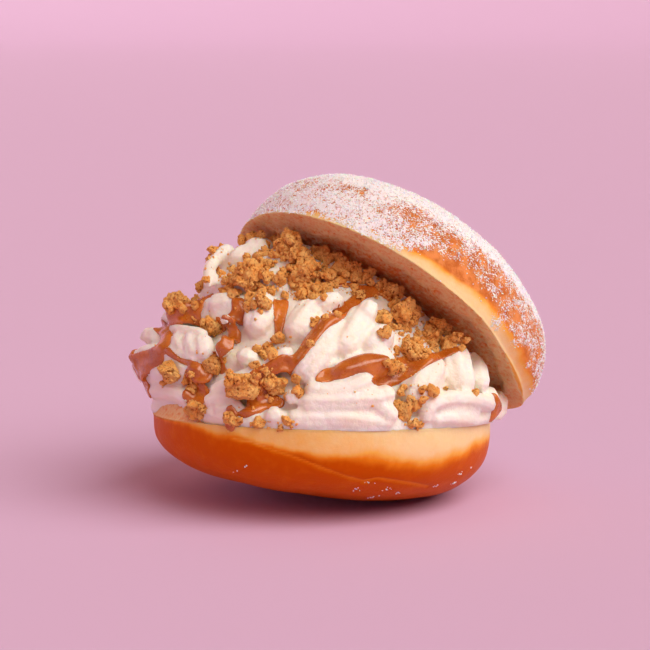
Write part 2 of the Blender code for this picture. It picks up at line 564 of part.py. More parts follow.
def build():
    for old in list(bpy.data.objects):
        bpy.data.objects.remove(old, do_unlink=True)
    beignet = new_collection("beignet")
    joined = new_collection("joined")
    cutters = new_collection("cutters")

    crust = principled("crust", (0.62, 0.24, 0.06), 0.55)
    sugared = principled("sugared crust", (0.72, 0.45, 0.30), 0.7)
    whipped = principled("whipped cream", (0.90, 0.83, 0.76), 0.5)
    biscuit = principled("biscuit", (0.62, 0.26, 0.07), 0.85)

    base = new_object("bun_base", base_mesh(), beignet)
    base.data.materials.append(crust)
    lid = new_object("bun_lid", lid_mesh(), beignet)
    lid.data.materials.append(sugared)

    cream = new_object("cream", core_mesh(), beignet)
    star = new_object("star", star_outline(), cutters)
    for name, radius, stops in ROPES:
        pipe_rope(name, radius, stops, star, joined)
    combine(cream, "UNION", joined)
    bpy.data.objects.remove(star)

    tree = tree_of(cream)
    for name, radius, stops in CARAMEL:
        pour_caramel(name, radius, stops, tree, joined)
    scatter_crumbs(tree, joined)

    for number, (angle, rise, radius, length) in enumerate(CHUNKS, start=1):
        place, out = on_cream(tree, angle, rise)
        centre = place + out * (radius * CHUNK_LIFT)
        way = unit(math.cos(number * CHUNK_TURN), math.sin(number * CHUNK_TURN), CHUNK_LEAN)
        turn = way.to_track_quat("X", "Z")
        bm = biscuit_bmesh(radius, length, 2, centre, turn, number + 100)
        chunk = new_object(f"biscuit_{number:02d}", mesh_of(bm, "biscuit"), beignet)
        chunk.data.materials.append(biscuit)
        seat = biscuit_bmesh(radius + SEAT_GAP, length, 2, centre, turn, number + 100)
        new_object(f"seat_{number:02d}", mesh_of(seat, "seat"), cutters)

    combine(cream, "UNION", joined)
    even_out(cream, CREAM_VOXEL, CREAM_TRIANGLES)
    plane_cutter("under_lid", LID_CENTRE - LID_UP * GAP, LID_UP, cutters)
    plane_cutter("over_base", RIM_CENTRE + BASE_UP * GAP, -BASE_UP, cutters)
    combine(cream, "DIFFERENCE", cutters)
    keep_one_body(cream)
    cream.data.materials.clear()
    cream.data.materials.append(whipped)

    for obj in beignet.objects:
        obj.data.transform(Matrix.Scale(MM, 4))
        obj.data.shade_smooth()
        obj.data.set_sharp_from_angle(angle=SHARP_EDGE)


build()
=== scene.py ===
import math
import random

import bmesh
import bpy
import numpy as np
from mathutils import Matrix, Vector, noise
from mathutils.bvhtree import BVHTree


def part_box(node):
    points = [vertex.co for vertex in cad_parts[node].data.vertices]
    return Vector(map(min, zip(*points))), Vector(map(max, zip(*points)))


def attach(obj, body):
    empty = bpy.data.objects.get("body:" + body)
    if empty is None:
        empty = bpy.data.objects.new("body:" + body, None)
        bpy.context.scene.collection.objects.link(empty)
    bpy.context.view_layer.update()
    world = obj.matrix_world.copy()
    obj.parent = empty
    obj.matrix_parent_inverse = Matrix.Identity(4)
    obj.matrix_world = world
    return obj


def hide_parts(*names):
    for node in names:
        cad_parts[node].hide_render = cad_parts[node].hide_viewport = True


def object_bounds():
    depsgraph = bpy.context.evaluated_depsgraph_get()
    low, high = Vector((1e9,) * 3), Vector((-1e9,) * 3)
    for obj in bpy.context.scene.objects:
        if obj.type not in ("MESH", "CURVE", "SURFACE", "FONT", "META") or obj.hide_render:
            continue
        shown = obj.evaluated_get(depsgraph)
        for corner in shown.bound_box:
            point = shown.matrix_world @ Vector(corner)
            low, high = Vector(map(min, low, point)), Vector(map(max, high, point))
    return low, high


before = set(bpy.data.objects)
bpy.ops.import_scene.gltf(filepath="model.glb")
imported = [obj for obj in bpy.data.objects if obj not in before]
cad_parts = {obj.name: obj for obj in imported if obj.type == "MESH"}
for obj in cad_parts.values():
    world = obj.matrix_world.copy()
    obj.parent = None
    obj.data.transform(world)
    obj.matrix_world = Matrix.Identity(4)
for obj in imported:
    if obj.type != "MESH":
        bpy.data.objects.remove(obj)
cad_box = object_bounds()

# The studio
# A wide pale floor that curves up far away on every side, with a large soft light at the
# front right, a weak warm one low at the left and even light from the room.
MM = 0.001
VIEW_TARGET = Vector((-7.2, -13.0, 46.87))
VIEW_DISTANCE = 600.0
VIEW_ELEVATION = math.radians(8.0)
VIEW_LENS = 122.8
FLOOR_COLOUR = (0.69, 0.47, 0.66)
FLOOR_ROUGHNESS = 0.9
FLOOR_REACH = 9000.0
FLOOR_BEND = 7000.0
FLOOR_TURNS = 64
FLOOR_BEND_STEPS = 16
ROOM_COLOUR = (1.0, 0.56, 0.42)
ROOM_STRENGTH = 0.36
# Name, way to the light, strength, softness in degrees and colour
LIGHTS = [
    ("key light", (0.62, -0.52, 0.60), 3.8, 70, (1.0, 0.99, 0.96)),
    ("fill light", (-0.80, -0.58, 0.12), 0.9, 40, (1.0, 0.62, 0.42)),
]

scene = bpy.context.scene
scene.view_settings.view_transform = "Standard"


def link(name, data):
    """Puts a new object with this data in the scene."""
    obj = bpy.data.objects.new(name, data)
    scene.collection.objects.link(obj)
    return obj


def new_material(name, fixed):
    """A material with these fixed values on its shader's sockets."""
    material = bpy.data.materials.new(name)
    material.use_nodes = True
    shader = material.node_tree.nodes["Principled BSDF"]
    for socket, value in fixed.items():
        shader.inputs[socket].default_value = value
    return material


def curved_floor():
    profile = [(0.0, 0.0), (FLOOR_REACH, 0.0)]
    for step in range(1, FLOOR_BEND_STEPS + 1):
        turn = math.radians(90) * step / FLOOR_BEND_STEPS
        profile.append((FLOOR_REACH + FLOOR_BEND * math.sin(turn), FLOOR_BEND * (1 - math.cos(turn))))
    points = [Vector((0.0, 0.0, 0.0))]
    for reach, height in profile[1:]:
        for step in range(FLOOR_TURNS):
            turn = 2 * math.pi * step / FLOOR_TURNS
            points.append(Vector((reach * math.cos(turn), reach * math.sin(turn), height)) * MM)
    faces = [(0, 1 + k, 1 + (k + 1) % FLOOR_TURNS) for k in range(FLOOR_TURNS)]
    for ring in range(len(profile) - 2):
        low, high = 1 + ring * FLOOR_TURNS, 1 + (ring + 1) * FLOOR_TURNS
        for k in range(FLOOR_TURNS):
            after = (k + 1) % FLOOR_TURNS
            faces.append((low + k, high + k, high + after, low + after))
    mesh = bpy.data.meshes.new("floor")
    mesh.from_pydata(points, [], faces)
    mesh.shade_smooth()
    return mesh


eye = bpy.data.cameras.new("camera")
eye.lens = VIEW_LENS
camera = link("camera", eye)
view_back = Vector((0.0, -math.cos(VIEW_ELEVATION), math.sin(VIEW_ELEVATION)))
camera.location = (VIEW_TARGET + view_back * VIEW_DISTANCE) * MM
camera.rotation_euler = view_back.to_track_quat("Z", "Y").to_euler()
scene.camera = camera

floor = link("floor", curved_floor())
floor_values = {"Base Color": (*FLOOR_COLOUR, 1.0), "Roughness": FLOOR_ROUGHNESS}
floor.data.materials.append(new_material("floor", floor_values))

room = bpy.data.worlds.new("room")
room.use_nodes = True
room.node_tree.nodes["Background"].inputs["Color"].default_value = (*ROOM_COLOUR, 1.0)
room.node_tree.nodes["Background"].inputs["Strength"].default_value = ROOM_STRENGTH
scene.world = room
for name, way, strength, softness, colour in LIGHTS:
    light = bpy.data.lights.new(name, "SUN")
    light.energy = strength
    light.angle = math.radians(softness)
    light.color = colour
    link(name, light).rotation_euler = Vector(way).to_track_quat("Z", "Y").to_euler()

# The lower half of the bun
# Fried yeast dough with a thin glossy brown crust, paler in a ring just under the cut where it
# floated above the oil. It was sliced open and sags a little on the floor.
RIM_RADIUS = 46.2
RIM_CENTRE = Vector((-8.0, -13.0, 22.4))
BASE_ROLL = math.radians(1.0)
BASE_PITCH = math.radians(5.5)
BASE_DEPTH = 21.0
BASE_FULLNESS = 2.95
BASE_DEEPER_ON_THE_RIGHT = 0.19
SAG = 0.9
SAG_REACH = 5.0
# How far below the cut the pale ring ends and the full brown begins, by compass angle
BASE_PALE_TO = [(0, 3.6), (45, 5), (90, 5.5), (135, 4), (165, 1.5), (190, 0.2), (218, 0.2), (226, 1.6),
                (233, 2.4), (240, 2.0), (246, 3.6), (256, 5.6), (268, 6.8), (278, 6.0), (286, 5.6),
                (293, 6.6), (301, 7.8), (310, 6.6), (320, 5.2), (337, 4.0)]
BASE_BROWN_FROM = [(0, 7), (45, 9), (90, 10), (135, 8), (165, 4), (190, 1.4), (218, 1.6), (226, 3.0),
                   (233, 3.9), (240, 4.4), (246, 5.2), (256, 7.2), (268, 8.8), (278, 9.2), (288, 10.4),
                   (298, 12), (311, 13), (324, 11), (337, 8.5)]
# How pale the ring is by compass angle: less pale round the back, left and front left, painted shade on the
# side away from the light at the right
BASE_SHADED_PALENESS = [(0, 1), (90, 0.9), (180, 0.82), (225, 0.76), (250, 0.74), (270, 0.78), (290, 0.92), (310, 1)]
# Faint folds in the crust, as stops of compass angle and distance below the cut
BASE_CREASES = [
    [(240, 3.4), (247, 4.1), (255, 6.1), (263, 8.0), (271, 10.5), (278, 12.7), (287, 14.5)],
    [(286, 14.0), (290, 13.3), (298, 14.3), (315, 16.6)],
]
CREASE_WIDTH = 0.35
CREASE_DEPTH = 0.35
CREASE_PALENESS = 0.35
# The bun's soft unevenness, and how its brown edge wanders: each layer's lump size and height
BASE_LUMPS = ((13.0, 0.30), (4.0, 0.08))
BASE_EDGE_WANDER = ((7.0, 1.1), (2.0, 0.4))
BASE_EDGE_SOFTNESS = 1.2
# Specks of sugar that fell on it: compass angle and distance below the cut
BASE_SPECKS = [(284, 16.3), (287.5, 14.5), (296, 16.5), (303, 17.7), (295, 19), (318, 16.4), (330, 16.3),
               (328.5, 13.3), (335, 12.6), (237, 12.5), (243, 10.7)]
BASE_SPECK_SIZE = 0.4
BASE_SPECK_COUNT = 60
GRAIN_SIZES = (0.16, 0.34)
GRAIN_STRETCH = (0.75, 1.25)
GRAIN_STANDS_OUT = 0.25
GRAIN_TONES = ((0.96, 0.93, 0.89), (0.99, 0.98, 0.95))
BUN_TURNS = 350
DOME_RINGS = 110
PROFILE_SAMPLES = 4000
# A roll of crumb that stands above the cut at the left, where the cream stops short of the rim
SHOULDER_HEIGHT = 4.4
SHOULDER_ANGLES = (180.0, 194.0, 218.0, 228.0)
SHOULDER_INSETS = (0.2, 3.4, 9.0, 15.0)
# The skins stay this far inside the solids, so that their lumps keep within the box
CRUST_INSET = 0.44
CRUMB_INSET = 0.15
# The cut's rings are close together for this far in from the rim, and far apart inside that
CRUMB_BAND = 24.0
CRUMB_STEP = 0.5
INNER_CRUMB_RINGS = 10
# The torn crumb: its mean depth, each layer's lump size and height, and how far in it begins
TORN_DEPTH = 0.55
TORN_LUMPS = ((8.0, 0.8), (2.6, 0.34), (1.1, 0.32))
TORN_FROM_TO = (0.4, 5.0)
# A ragged ledge inside which the crumb was torn deeper
LEDGE_INSET = 9.0
LEDGE_WANDER = ((11.0, 2.4), (3.0, 0.9))
LEDGE_WIDTH = 1.2
LEDGE_DEPTH = 1.3
PORE_COUNT = 700
PORE_RADII = (0.35, 0.95)
PORE_DEPTH_OF_RADIUS = 0.8
PORES_FROM_TO = (0.2, 1.0)
# Painted shade on the crumb: how dark it is painted in a full pore and deep inside, and where that inside
# begins
PORE_SHADE = 0.6
DEEP_SHADE = 0.6
FULL_PORE_DEPTH = 0.6
DEEP_CRUMB_FROM_TO = (8.0, 19.0)


def unit(x, y, z):
    return Vector((x, y, z)).normalized()


BASE_UP = unit(math.sin(BASE_ROLL), math.sin(BASE_PITCH), 1.0)


def curve_weights(share):
    """What the start, its slope, the end and its slope count for at this share of a curve."""
    square = share * share
    cube = square * share
    return 2 * cube - 3 * square + 1, cube - 2 * square + share, 3 * square - 2 * cube, cube - square


def round_table(table, angle):
    """Reads a smooth closed curve through a table of compass angle and value."""
    angle %= 360
    count = len(table)
    at = max((i for i in range(count) if table[i][0] <= angle), default=count - 1)
    start, value = table[at]
    end, next_value = table[(at + 1) % count]
    span = (end - start) % 360
    slope = (next_value - table[at - 1][1]) / 2
    next_slope = (table[(at + 2) % count][1] - value) / 2
    weights = curve_weights(((angle - start) % 360) / span)
    return sum(weight * term for weight, term in zip(weights, (value, slope, next_value, next_slope)))


def eased(values, low, high):
    """0 below low and 1 above high, with a smooth step between."""
    share = np.clip((values - low) / (high - low), 0.0, 1.0)
    return share * share * (3 - 2 * share)


def between(values, rise_from, rise_to, fall_from, fall_to):
    """1 between the middle two limits, with a smooth step to 0 on either side."""
    return eased(values, rise_from, rise_to) * (1 - eased(values, fall_from, fall_to))


def noise_over(points, size, seed):
    """Smooth noise from -1 to 1 at each point, with lumps about this size across."""
    offset = Vector((seed * 17.3, seed * 5.1, seed * 9.7))
    return np.array([noise.noise(Vector(point) / size + offset) for point in points])


def layered_noise(points, layers, seed):
    """The sum of layers of noise, each given as its lumps' size and height."""
    return sum(height * noise_over(points, size, seed + at) for at, (size, height) in enumerate(layers))


def skin_over(rings):
    """Points and faces of a closed skin over a stack of equal rings, with a point at each end."""
    rings = np.asarray(rings, float)
    count, around = rings.shape[:2]
    ends = [rings[0].mean(axis=0), rings[-1].mean(axis=0)]
    points = np.concatenate([rings.reshape(-1, 3), ends])
    here = np.arange(around)
    after = np.roll(here, -1)
    faces = []
    for row in range(count - 1):
        low, high = row * around, (row + 1) * around
        faces += zip(low + here, low + after, high + after, high + here)
    last = (count - 1) * around
    faces += zip(after, here, [count * around] * around)
    faces += zip(last + here, last + after, [count * around + 1] * around)
    return points, faces


def mesh_from(name, points, faces):
    mesh = bpy.data.meshes.new(name)
    mesh.from_pydata(np.asarray(points).tolist(), [], [tuple(map(int, face)) for face in faces])
    return mesh


def places(mesh):
    flat = np.empty(len(mesh.vertices) * 3)
    mesh.vertices.foreach_get("co", flat)
    return flat.reshape(-1, 3)


def facings(mesh):
    flat = np.empty(len(mesh.vertices) * 3)
    mesh.vertex_normals.foreach_get("vector", flat)
    return flat.reshape(-1, 3)


def move_points(mesh, points):
    mesh.vertices.foreach_set("co", np.asarray(points, float).ravel())
    mesh.update()


def remember(mesh, name, values):
    """Keeps a number for every point of the mesh, for its material to read."""
    kept = mesh.attributes.new(name, "FLOAT", "POINT")
    kept.data.foreach_set("value", np.asarray(values, np.float32))


def hand_over(name, mesh, material, slot, *nodes):
    """Finishes a piece: it rides with the bun and stands for these CAD nodes."""
    mesh.transform(Matrix.Scale(MM, 4))
    mesh.shade_smooth()
    mesh.materials.clear()
    mesh.materials.append(material)
    piece = link(name, mesh)
    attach(piece, "root")
    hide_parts(*nodes)
    return piece


class HalfBun:
    """Half a bun as rings of points, from the top of its dome over the rim to mid cut."""

    def __init__(self, centre, dome, radius_at, fullness, depth, compass_of, deeper_on_the_right=0.0):
        side = (Vector((1, 0, 0)) - dome * dome.x).normalized()
        turns = np.arange(BUN_TURNS) * 2 * math.pi / BUN_TURNS
        ways = np.outer(np.cos(turns), side) + np.outer(np.sin(turns), dome.cross(side))
        radius = np.array([radius_at(Vector(way)) for way in ways])
        power = 2 / fullness
        fine = np.linspace(0, math.pi / 2, PROFILE_SAMPLES)
        curve = np.stack([RIM_RADIUS * np.sin(fine) ** power, depth * np.cos(fine) ** power])
        travelled = np.concatenate([[0], np.cumsum(np.hypot(*np.diff(curve)))])
        stations = np.interp(np.linspace(0, travelled[-1], DOME_RINGS)[1:], travelled, fine)[:, None]
        share = np.sin(stations) ** power
        reach = radius * share
        height = depth * np.maximum(np.cos(stations), 0) ** power
        height = height * (1 + deeper_on_the_right * share * np.cos(turns))
        insets = np.concatenate([np.arange(CRUMB_STEP, CRUMB_BAND, CRUMB_STEP),
                                 np.linspace(CRUMB_BAND, RIM_RADIUS, INNER_CRUMB_RINGS)[:-1]])[:, None]
        cut_reach = radius * (1 - insets / RIM_RADIUS)
        reach = np.concatenate([reach, cut_reach])
        height = np.concatenate([height, np.zeros_like(cut_reach)])
        rings = (np.array(centre) + reach[:, :, None] * ways[None] + height[:, :, None] * np.array(dome))
        self.points, inward = skin_over(rings)
        self.faces = [face[::-1] for face in inward]
        compass = np.array([compass_of(Vector(way)) for way in ways])
        self.compass = np.concatenate([np.tile(compass, len(reach)), [0.0, 0.0]])
        self.height = np.concatenate([height.ravel(), [depth, 0.0]])
        on_dome = np.zeros((DOME_RINGS - 1, BUN_TURNS))
        self.inset = np.concatenate([on_dome.ravel(), (insets * np.ones(BUN_TURNS)).ravel(),
                                     [0.0, RIM_RADIUS]])

    def read(self, table):
        """The table's value at every point, by compass angle."""
        steps = np.array([round_table(table, angle) for angle in range(361)])
        return np.interp(self.compass % 360, np.arange(361), steps)

    def line_distance(self, stops):
        """How far each point of the dome is from a line of compass angle and height stops."""
        nearest = np.full(len(self.points), 1e3)
        scale = math.radians(1) * RIM_RADIUS
        here = np.stack([self.compass * scale, self.height], axis=1)
        for (angle, height), (next_angle, next_height) in zip(stops, stops[1:]):
            start = np.array([angle * scale, height])
            along = np.array([next_angle * scale, next_height]) - start
            share = np.clip((here - start) @ along / (along @ along), 0, 1)
            nearest = np.minimum(nearest, np.linalg.norm(here - start - share[:, None] * along, axis=1))
        return nearest


def crumb_relief(bun, seed, smooth):
    """How far the torn crumb of the cut lies inside the bun, and the painted shade in its pores.

    Both fade away where smooth is 1.
    """
    cut = np.nonzero(bun.inset > 0)[0]
    points = bun.points[cut]
    inset = bun.inset[cut]
    torn = np.maximum(TORN_DEPTH + layered_noise(points, TORN_LUMPS, seed), 0.0)
    torn *= eased(inset, *TORN_FROM_TO)
    ledge = LEDGE_INSET + layered_noise(points, LEDGE_WANDER, seed + len(TORN_LUMPS))
    torn += LEDGE_DEPTH * eased(inset, ledge, ledge + LEDGE_WIDTH)
    dice = random.Random(seed)
    pores = np.zeros(len(cut))
    outer = cut[inset < CRUMB_BAND]
    for spare in range(PORE_COUNT):
        middle = bun.points[dice.choice(outer)]
        radius = PORE_RADII[0] + (PORE_RADII[1] - PORE_RADII[0]) * dice.random() ** 3
        away = np.linalg.norm(points - middle, axis=1) / radius
        pore = PORE_DEPTH_OF_RADIUS * radius * np.sqrt(np.clip(1 - away * away, 0, 1))
        pores = np.maximum(pores, pore)
    kept = (1 - smooth[cut]) * eased(inset, *PORES_FROM_TO)
    depth = np.zeros(len(bun.points))
    hollow = np.zeros(len(bun.points))
    depth[cut] = torn * (1 - smooth[cut]) + pores * kept
    # The painted shade: dark in the pores and deep inside the cut, where shade falls
    hollow[cut] = (np.clip(pores / FULL_PORE_DEPTH, 0, 1) * kept * PORE_SHADE
                   + eased(inset, *DEEP_CRUMB_FROM_TO) * DEEP_SHADE)
    return depth, hollow


class Wire:
    """A shader socket that can be used in sums; a wire with no socket starts a material."""

    def __init__(self, tree, socket=None):
        self.tree = tree
        self.socket = socket

    def node(self, kind, settings=None, inputs=None, output=0):
        """Adds a node, with its settings first and then its inputs' values or wires."""
        made = self.tree.nodes.new(kind)
        for name, value in (settings or {}).items():
            if name == "stops":
                for spare in value[2:]:
                    made.color_ramp.elements.new(1.0)
                for element, (place, colour) in zip(made.color_ramp.elements, value):
                    element.position = place
                    element.color = (*colour, 1.0)
            else:
                setattr(made, name, value)
        for name, value in (inputs or {}).items():
            if isinstance(value, Wire):
                self.tree.links.new(value.socket, made.inputs[name])
            else:
                made.inputs[name].default_value = value
        return Wire(self.tree, made.outputs[output])

    def maths(self, operation, first, second):
        return self.node("ShaderNodeMath", {"operation": operation}, {0: first, 1: second})

    def __add__(self, other):
        return self.maths("ADD", self, other)

    def __radd__(self, other):
        return self.maths("ADD", other, self)

    def __sub__(self, other):
        return self.maths("SUBTRACT", self, other)

    def __rsub__(self, other):
        return self.maths("SUBTRACT", other, self)

    def __mul__(self, other):
        return self.maths("MULTIPLY", self, other)

    def __rmul__(self, other):
        return self.maths("MULTIPLY", other, self)

    def step(self, low, high):
        """0 below low and 1 above high, with a smooth step between."""
        return self.node("ShaderNodeMapRange", {"interpolation_type": "SMOOTHSTEP"},
                         {"Value": self, "From Min": low, "From Max": high})

    def noise(self, size, detail=3.0, roughness=0.5):
        """Cloudy noise from 0 to 1 with lumps about this many millimetres across."""
        here = self.node("ShaderNodeTexCoord", output=3)
        return self.node("ShaderNodeTexNoise", None,
                         {"Vector": here, "Scale": 1 / (size * MM), "Detail": detail, "Roughness": roughness})

    def kept(self, name):
        """A number remembered for every point of the mesh."""
        return self.node("ShaderNodeAttribute", {"attribute_name": name}, output=2)

    def blend(self, first, second):
        """The first colour where this wire is 0 and the second where it is 1."""
        mixer = self.tree.nodes.new("ShaderNodeMix")
        mixer.data_type = "RGBA"
        self.tree.links.new(self.socket, mixer.inputs[0])
        for at, colour in ((6, first), (7, second)):
            if isinstance(colour, Wire):
                self.tree.links.new(colour.socket, mixer.inputs[at])
            else:
                mixer.inputs[at].default_value = (*colour, 1.0)
        return Wire(self.tree, mixer.outputs[2])


def finish(name, fixed):
    """A material with these fixed values, and a wire to build its varying ones on."""
    material = new_material(name, fixed)
    return material, Wire(material.node_tree)


def feed(material, varied, bumps=()):
    """Wires varying values into the shader, with bumps given as height and depth in mm."""
    tree = material.node_tree
    shader = tree.nodes["Principled BSDF"]
    for socket, wire in varied.items():
        tree.links.new(wire.socket, shader.inputs[socket])
    normal = None
    for height, depth in bumps:
        inputs = {"Height": height, "Distance": depth * MM}
        if normal is not None:
            inputs["Normal"] = normal
        normal = height.node("ShaderNodeBump", None, inputs)
    if normal is not None:
        tree.links.new(normal.socket, shader.inputs["Normal"])


CRUST_PALE = (0.92, 0.67, 0.34)
CRUST_GOLD = (0.93, 0.47, 0.09)
CRUST_AMBER = (0.84, 0.25, 0.012)
CRUST_BROWN = (0.62, 0.10, 0.001)
# The crumb's colour, and a darker one used both for random mottling and for painted shade in its pores and
# deep inside
CRUMB_LIGHT = (1.0, 0.67, 0.32)
CRUMB_DARK_AND_SHADED = (0.95, 0.27, 0.06)
CRUST_SHINE = {"Specular IOR Level": 0.06, "Specular Tint": (1.0, 0.30, 0.06, 1.0), "Subsurface Weight": 0.35,
               "Subsurface Scale": 0.005, "Subsurface Radius": (1.0, 0.32, 0.10)}


def crust_colours(paint):
    """The crust's colour from pale ring to brown, and the crumb's where it was cut, with painted shade in its
    pores and deep inside.
    """
    pale = paint.kept("pale") + (paint.noise(4.0) - 0.5) * 0.28 + (paint.noise(1.1) - 0.5) * 0.12
    crust = pale.node("ShaderNodeValToRGB",
                      {"stops": [(0.0, CRUST_BROWN), (0.35, CRUST_AMBER), (0.62, CRUST_GOLD),
                                 (1.0, CRUST_PALE)]},
                      {"Fac": pale})
    # The crumb's tone: random mottling plus the painted shade kept as hollow
    tone = (paint.noise(1.3, 4.0, 0.75) - 0.5) * 4.0 + (paint.noise(4.0) - 0.5) * 0.8 + paint.kept("hollow")
    crumb = tone.step(-0.3, 1.1).blend(CRUMB_LIGHT, CRUMB_DARK_AND_SHADED)
    return crust, crumb


def base_crust():
    material, paint = finish("base crust", CRUST_SHINE)
    crust, crumb = crust_colours(paint)
    cut = paint.kept("cut").step(0.3, 0.7)
    rough = 0.34 + paint.noise(2.5) * 0.14 + cut * 0.45
    feed(material, {"Base Color": cut.blend(crust, crumb), "Roughness": rough},
         [(paint.noise(0.9, 4.0, 0.6) * (cut * 0.85 + 0.15), 0.7)])
    return material


def spots_over(bun, spots):
    """1 in the middle of each spot on the half's dome, fading to 0 around it."""
    cover = np.zeros(len(bun.points))
    for angle, height, radius in spots:
        away = bun.line_distance([(angle - 0.5, height), (angle + 0.5, height)]) / radius
        cover = np.maximum(cover, np.exp(-away ** 2))
    return cover


def sugar_grains(name, count, mesh, weights, seed):
    """A mesh of tiny blocks of sugar lying on another, more of them where the weights are high."""
    dice = np.random.default_rng(seed)
    points, outward = places(mesh), facings(mesh)
    faces = np.array([face.vertices[:3] for face in mesh.polygons])
    corners = points[faces]
    areas = np.linalg.norm(np.cross(corners[:, 1] - corners[:, 0], corners[:, 2] - corners[:, 0]), axis=1)
    chance = areas * weights[faces].mean(axis=1)
    chosen = dice.choice(len(faces), count, p=chance / chance.sum())
    share = dice.dirichlet((1, 1, 1), count)[:, :, None]
    middles = (corners[chosen] * share).sum(axis=1)
    out = (outward[faces[chosen]] * share).sum(axis=1)
    sizes = dice.uniform(*GRAIN_SIZES, (count, 1)) * dice.uniform(*GRAIN_STRETCH, (count, 3))
    middles = middles + out * sizes.mean(axis=1, keepdims=True) * GRAIN_STANDS_OUT
    spins = dice.normal(size=(count, 4))
    w, x, y, z = (spins / np.linalg.norm(spins, axis=1, keepdims=True)).T
    turns = np.array([[1 - 2 * (y * y + z * z), 2 * (x * y - z * w), 2 * (x * z + y * w)],
                      [2 * (x * y + z * w), 1 - 2 * (x * x + z * z), 2 * (y * z - x * w)],
                      [2 * (x * z - y * w), 2 * (y * z + x * w), 1 - 2 * (x * x + y * y)]])
    cube = np.array([(a, b, c) for a in (-0.5, 0.5) for b in (-0.5, 0.5) for c in (-0.5, 0.5)])
    boxes = middles[:, None] + np.einsum("ijn,nkj->nki", turns, cube[None] * sizes[:, None])
    sides = np.array([(0, 1, 3, 2), (4, 6, 7, 5), (0, 4, 5, 1), (2, 3, 7, 6), (0, 2, 6, 4), (1, 5, 7, 3)])
    shells = (sides[None] + 8 * np.arange(count)[:, None, None]).reshape(-1, 4)
    return mesh_from(name, boxes.reshape(-1, 3), shells)


def sugar_finish():
    material, paint = finish("sugar", {"Roughness": 0.35, "Subsurface Weight": 0.6,
                                       "Subsurface Scale": 0.0008})
    feed(material, {"Base Color": paint.noise(3.0).step(0.3, 0.7).blend(*GRAIN_TONES)})
    return material


base = HalfBun(RIM_CENTRE, -BASE_UP, lambda way: RIM_RADIUS, BASE_FULLNESS, BASE_DEPTH,
               lambda way: math.degrees(math.atan2(way.y, way.x)) % 360, BASE_DEEPER_ON_THE_RIGHT)
base_mesh = mesh_from("lower_bun", base.points, base.faces)
shoulder = between(base.compass, *SHOULDER_ANGLES) * between(base.inset, *SHOULDER_INSETS)
torn, hollow = crumb_relief(base, 3, shoulder)
on_crust = base.inset == 0
soft_lumps = layered_noise(base.points, BASE_LUMPS, 1)
crease = np.zeros(len(base.points))
for line in BASE_CREASES:
    crease = np.maximum(crease, np.exp(-(base.line_distance(line) / CREASE_WIDTH) ** 2))
sunk = np.where(on_crust, CRUST_INSET - soft_lumps + crease * CREASE_DEPTH, torn + CRUMB_INSET)
base_points = base.points - facings(base_mesh) * sunk[:, None]
base_points += (SHOULDER_HEIGHT * shoulder)[:, None] * np.array(BASE_UP)
low = base_points[:, 2] < SAG_REACH
base_points[low, 2] -= SAG * (1 - base_points[low, 2] / SAG_REACH)
base_points[:, 2] = np.maximum(base_points[:, 2], 0.0)
move_points(base_mesh, base_points)
edge = base.height + layered_noise(base.points, BASE_EDGE_WANDER, 5)
base_pale = 1 - eased(edge, base.read(BASE_PALE_TO) - BASE_EDGE_SOFTNESS, base.read(BASE_BROWN_FROM))
# Painted shade: the pale ring is dimmed on the side away from the light
base_pale *= base.read(BASE_SHADED_PALENESS)
remember(base_mesh, "pale", np.clip(base_pale + crease * CREASE_PALENESS, 0, 1))
remember(base_mesh, "cut", np.where(on_crust, 0.0, 1.0))
# hollow carries the crumb's painted shade in its pores and deep inside
remember(base_mesh, "hollow", hollow)
base_specks = spots_over(base, [(angle, drop, BASE_SPECK_SIZE) for angle, drop in BASE_SPECKS])
specks = sugar_grains("sugar_on_lower_half", BASE_SPECK_COUNT, base_mesh, base_specks, 17)
sugar_material = sugar_finish()
hand_over("lower_bun", base_mesh, base_crust(), "crust", "bun_base")
hand_over("sugar_on_lower_half", specks, sugar_material, "crust").data.shade_flat()

# The lid of the bun
# The same dough's upper half, tipped open to the right and back. Its dome was rolled in fine
# sugar, thin enough in places to show the brown crust, and its cut shows the torn crumb.
LID_CENTRE = RIM_CENTRE + Vector((15.7, 12.3, 23.4))
LID_TILT = math.radians(44.6)
LID_HEADING = math.radians(42.2)
LID_DEPTH = 29.2
LID_FULLNESS = 2.8
# How far the lid's rim is from its centre: flattened where it leans on the lower half
LID_RIM = [(0, 44.6), (10, 41.8), (20, 40.9), (32, 41.2), (42, 41.8), (52, 42.3), (62, 43.2), (72, 44.3),
           (82, 45.3), (95, 46.2), (180, 46.2), (270, 46.2), (315, 46.3), (330, 46.7), (342, 47.3),
           (351, 47.1)]
# Where the cut edge is drawn in at the right under the dome's bulge
TUCK = 1.9
TUCK_ANGLES = (298.0, 322.0, 345.0, 359.0)
TUCK_HEIGHT = 4.5
TUCK_INSET = 10.0
# A flap of skin folded over the cut edge at the right: compass angle and how far in it ends
FLAP = [(306, -1.0), (312, 0.8), (317, 0.6), (323, 1.1), (330, 2.0), (337, 2.5), (343, 2.1), (352, -1.0)]
FLAP_EDGE = 0.35
FLAP_PALENESS = 0.6
LID_CRUST_INSET = 0.59
LID_LUMPS = ((14.0, 0.32), (4.5, 0.10))
LID_EDGE_WANDER = ((6.0, 1.2), (1.8, 0.5))
LID_EDGE_SOFTNESS = 1.0
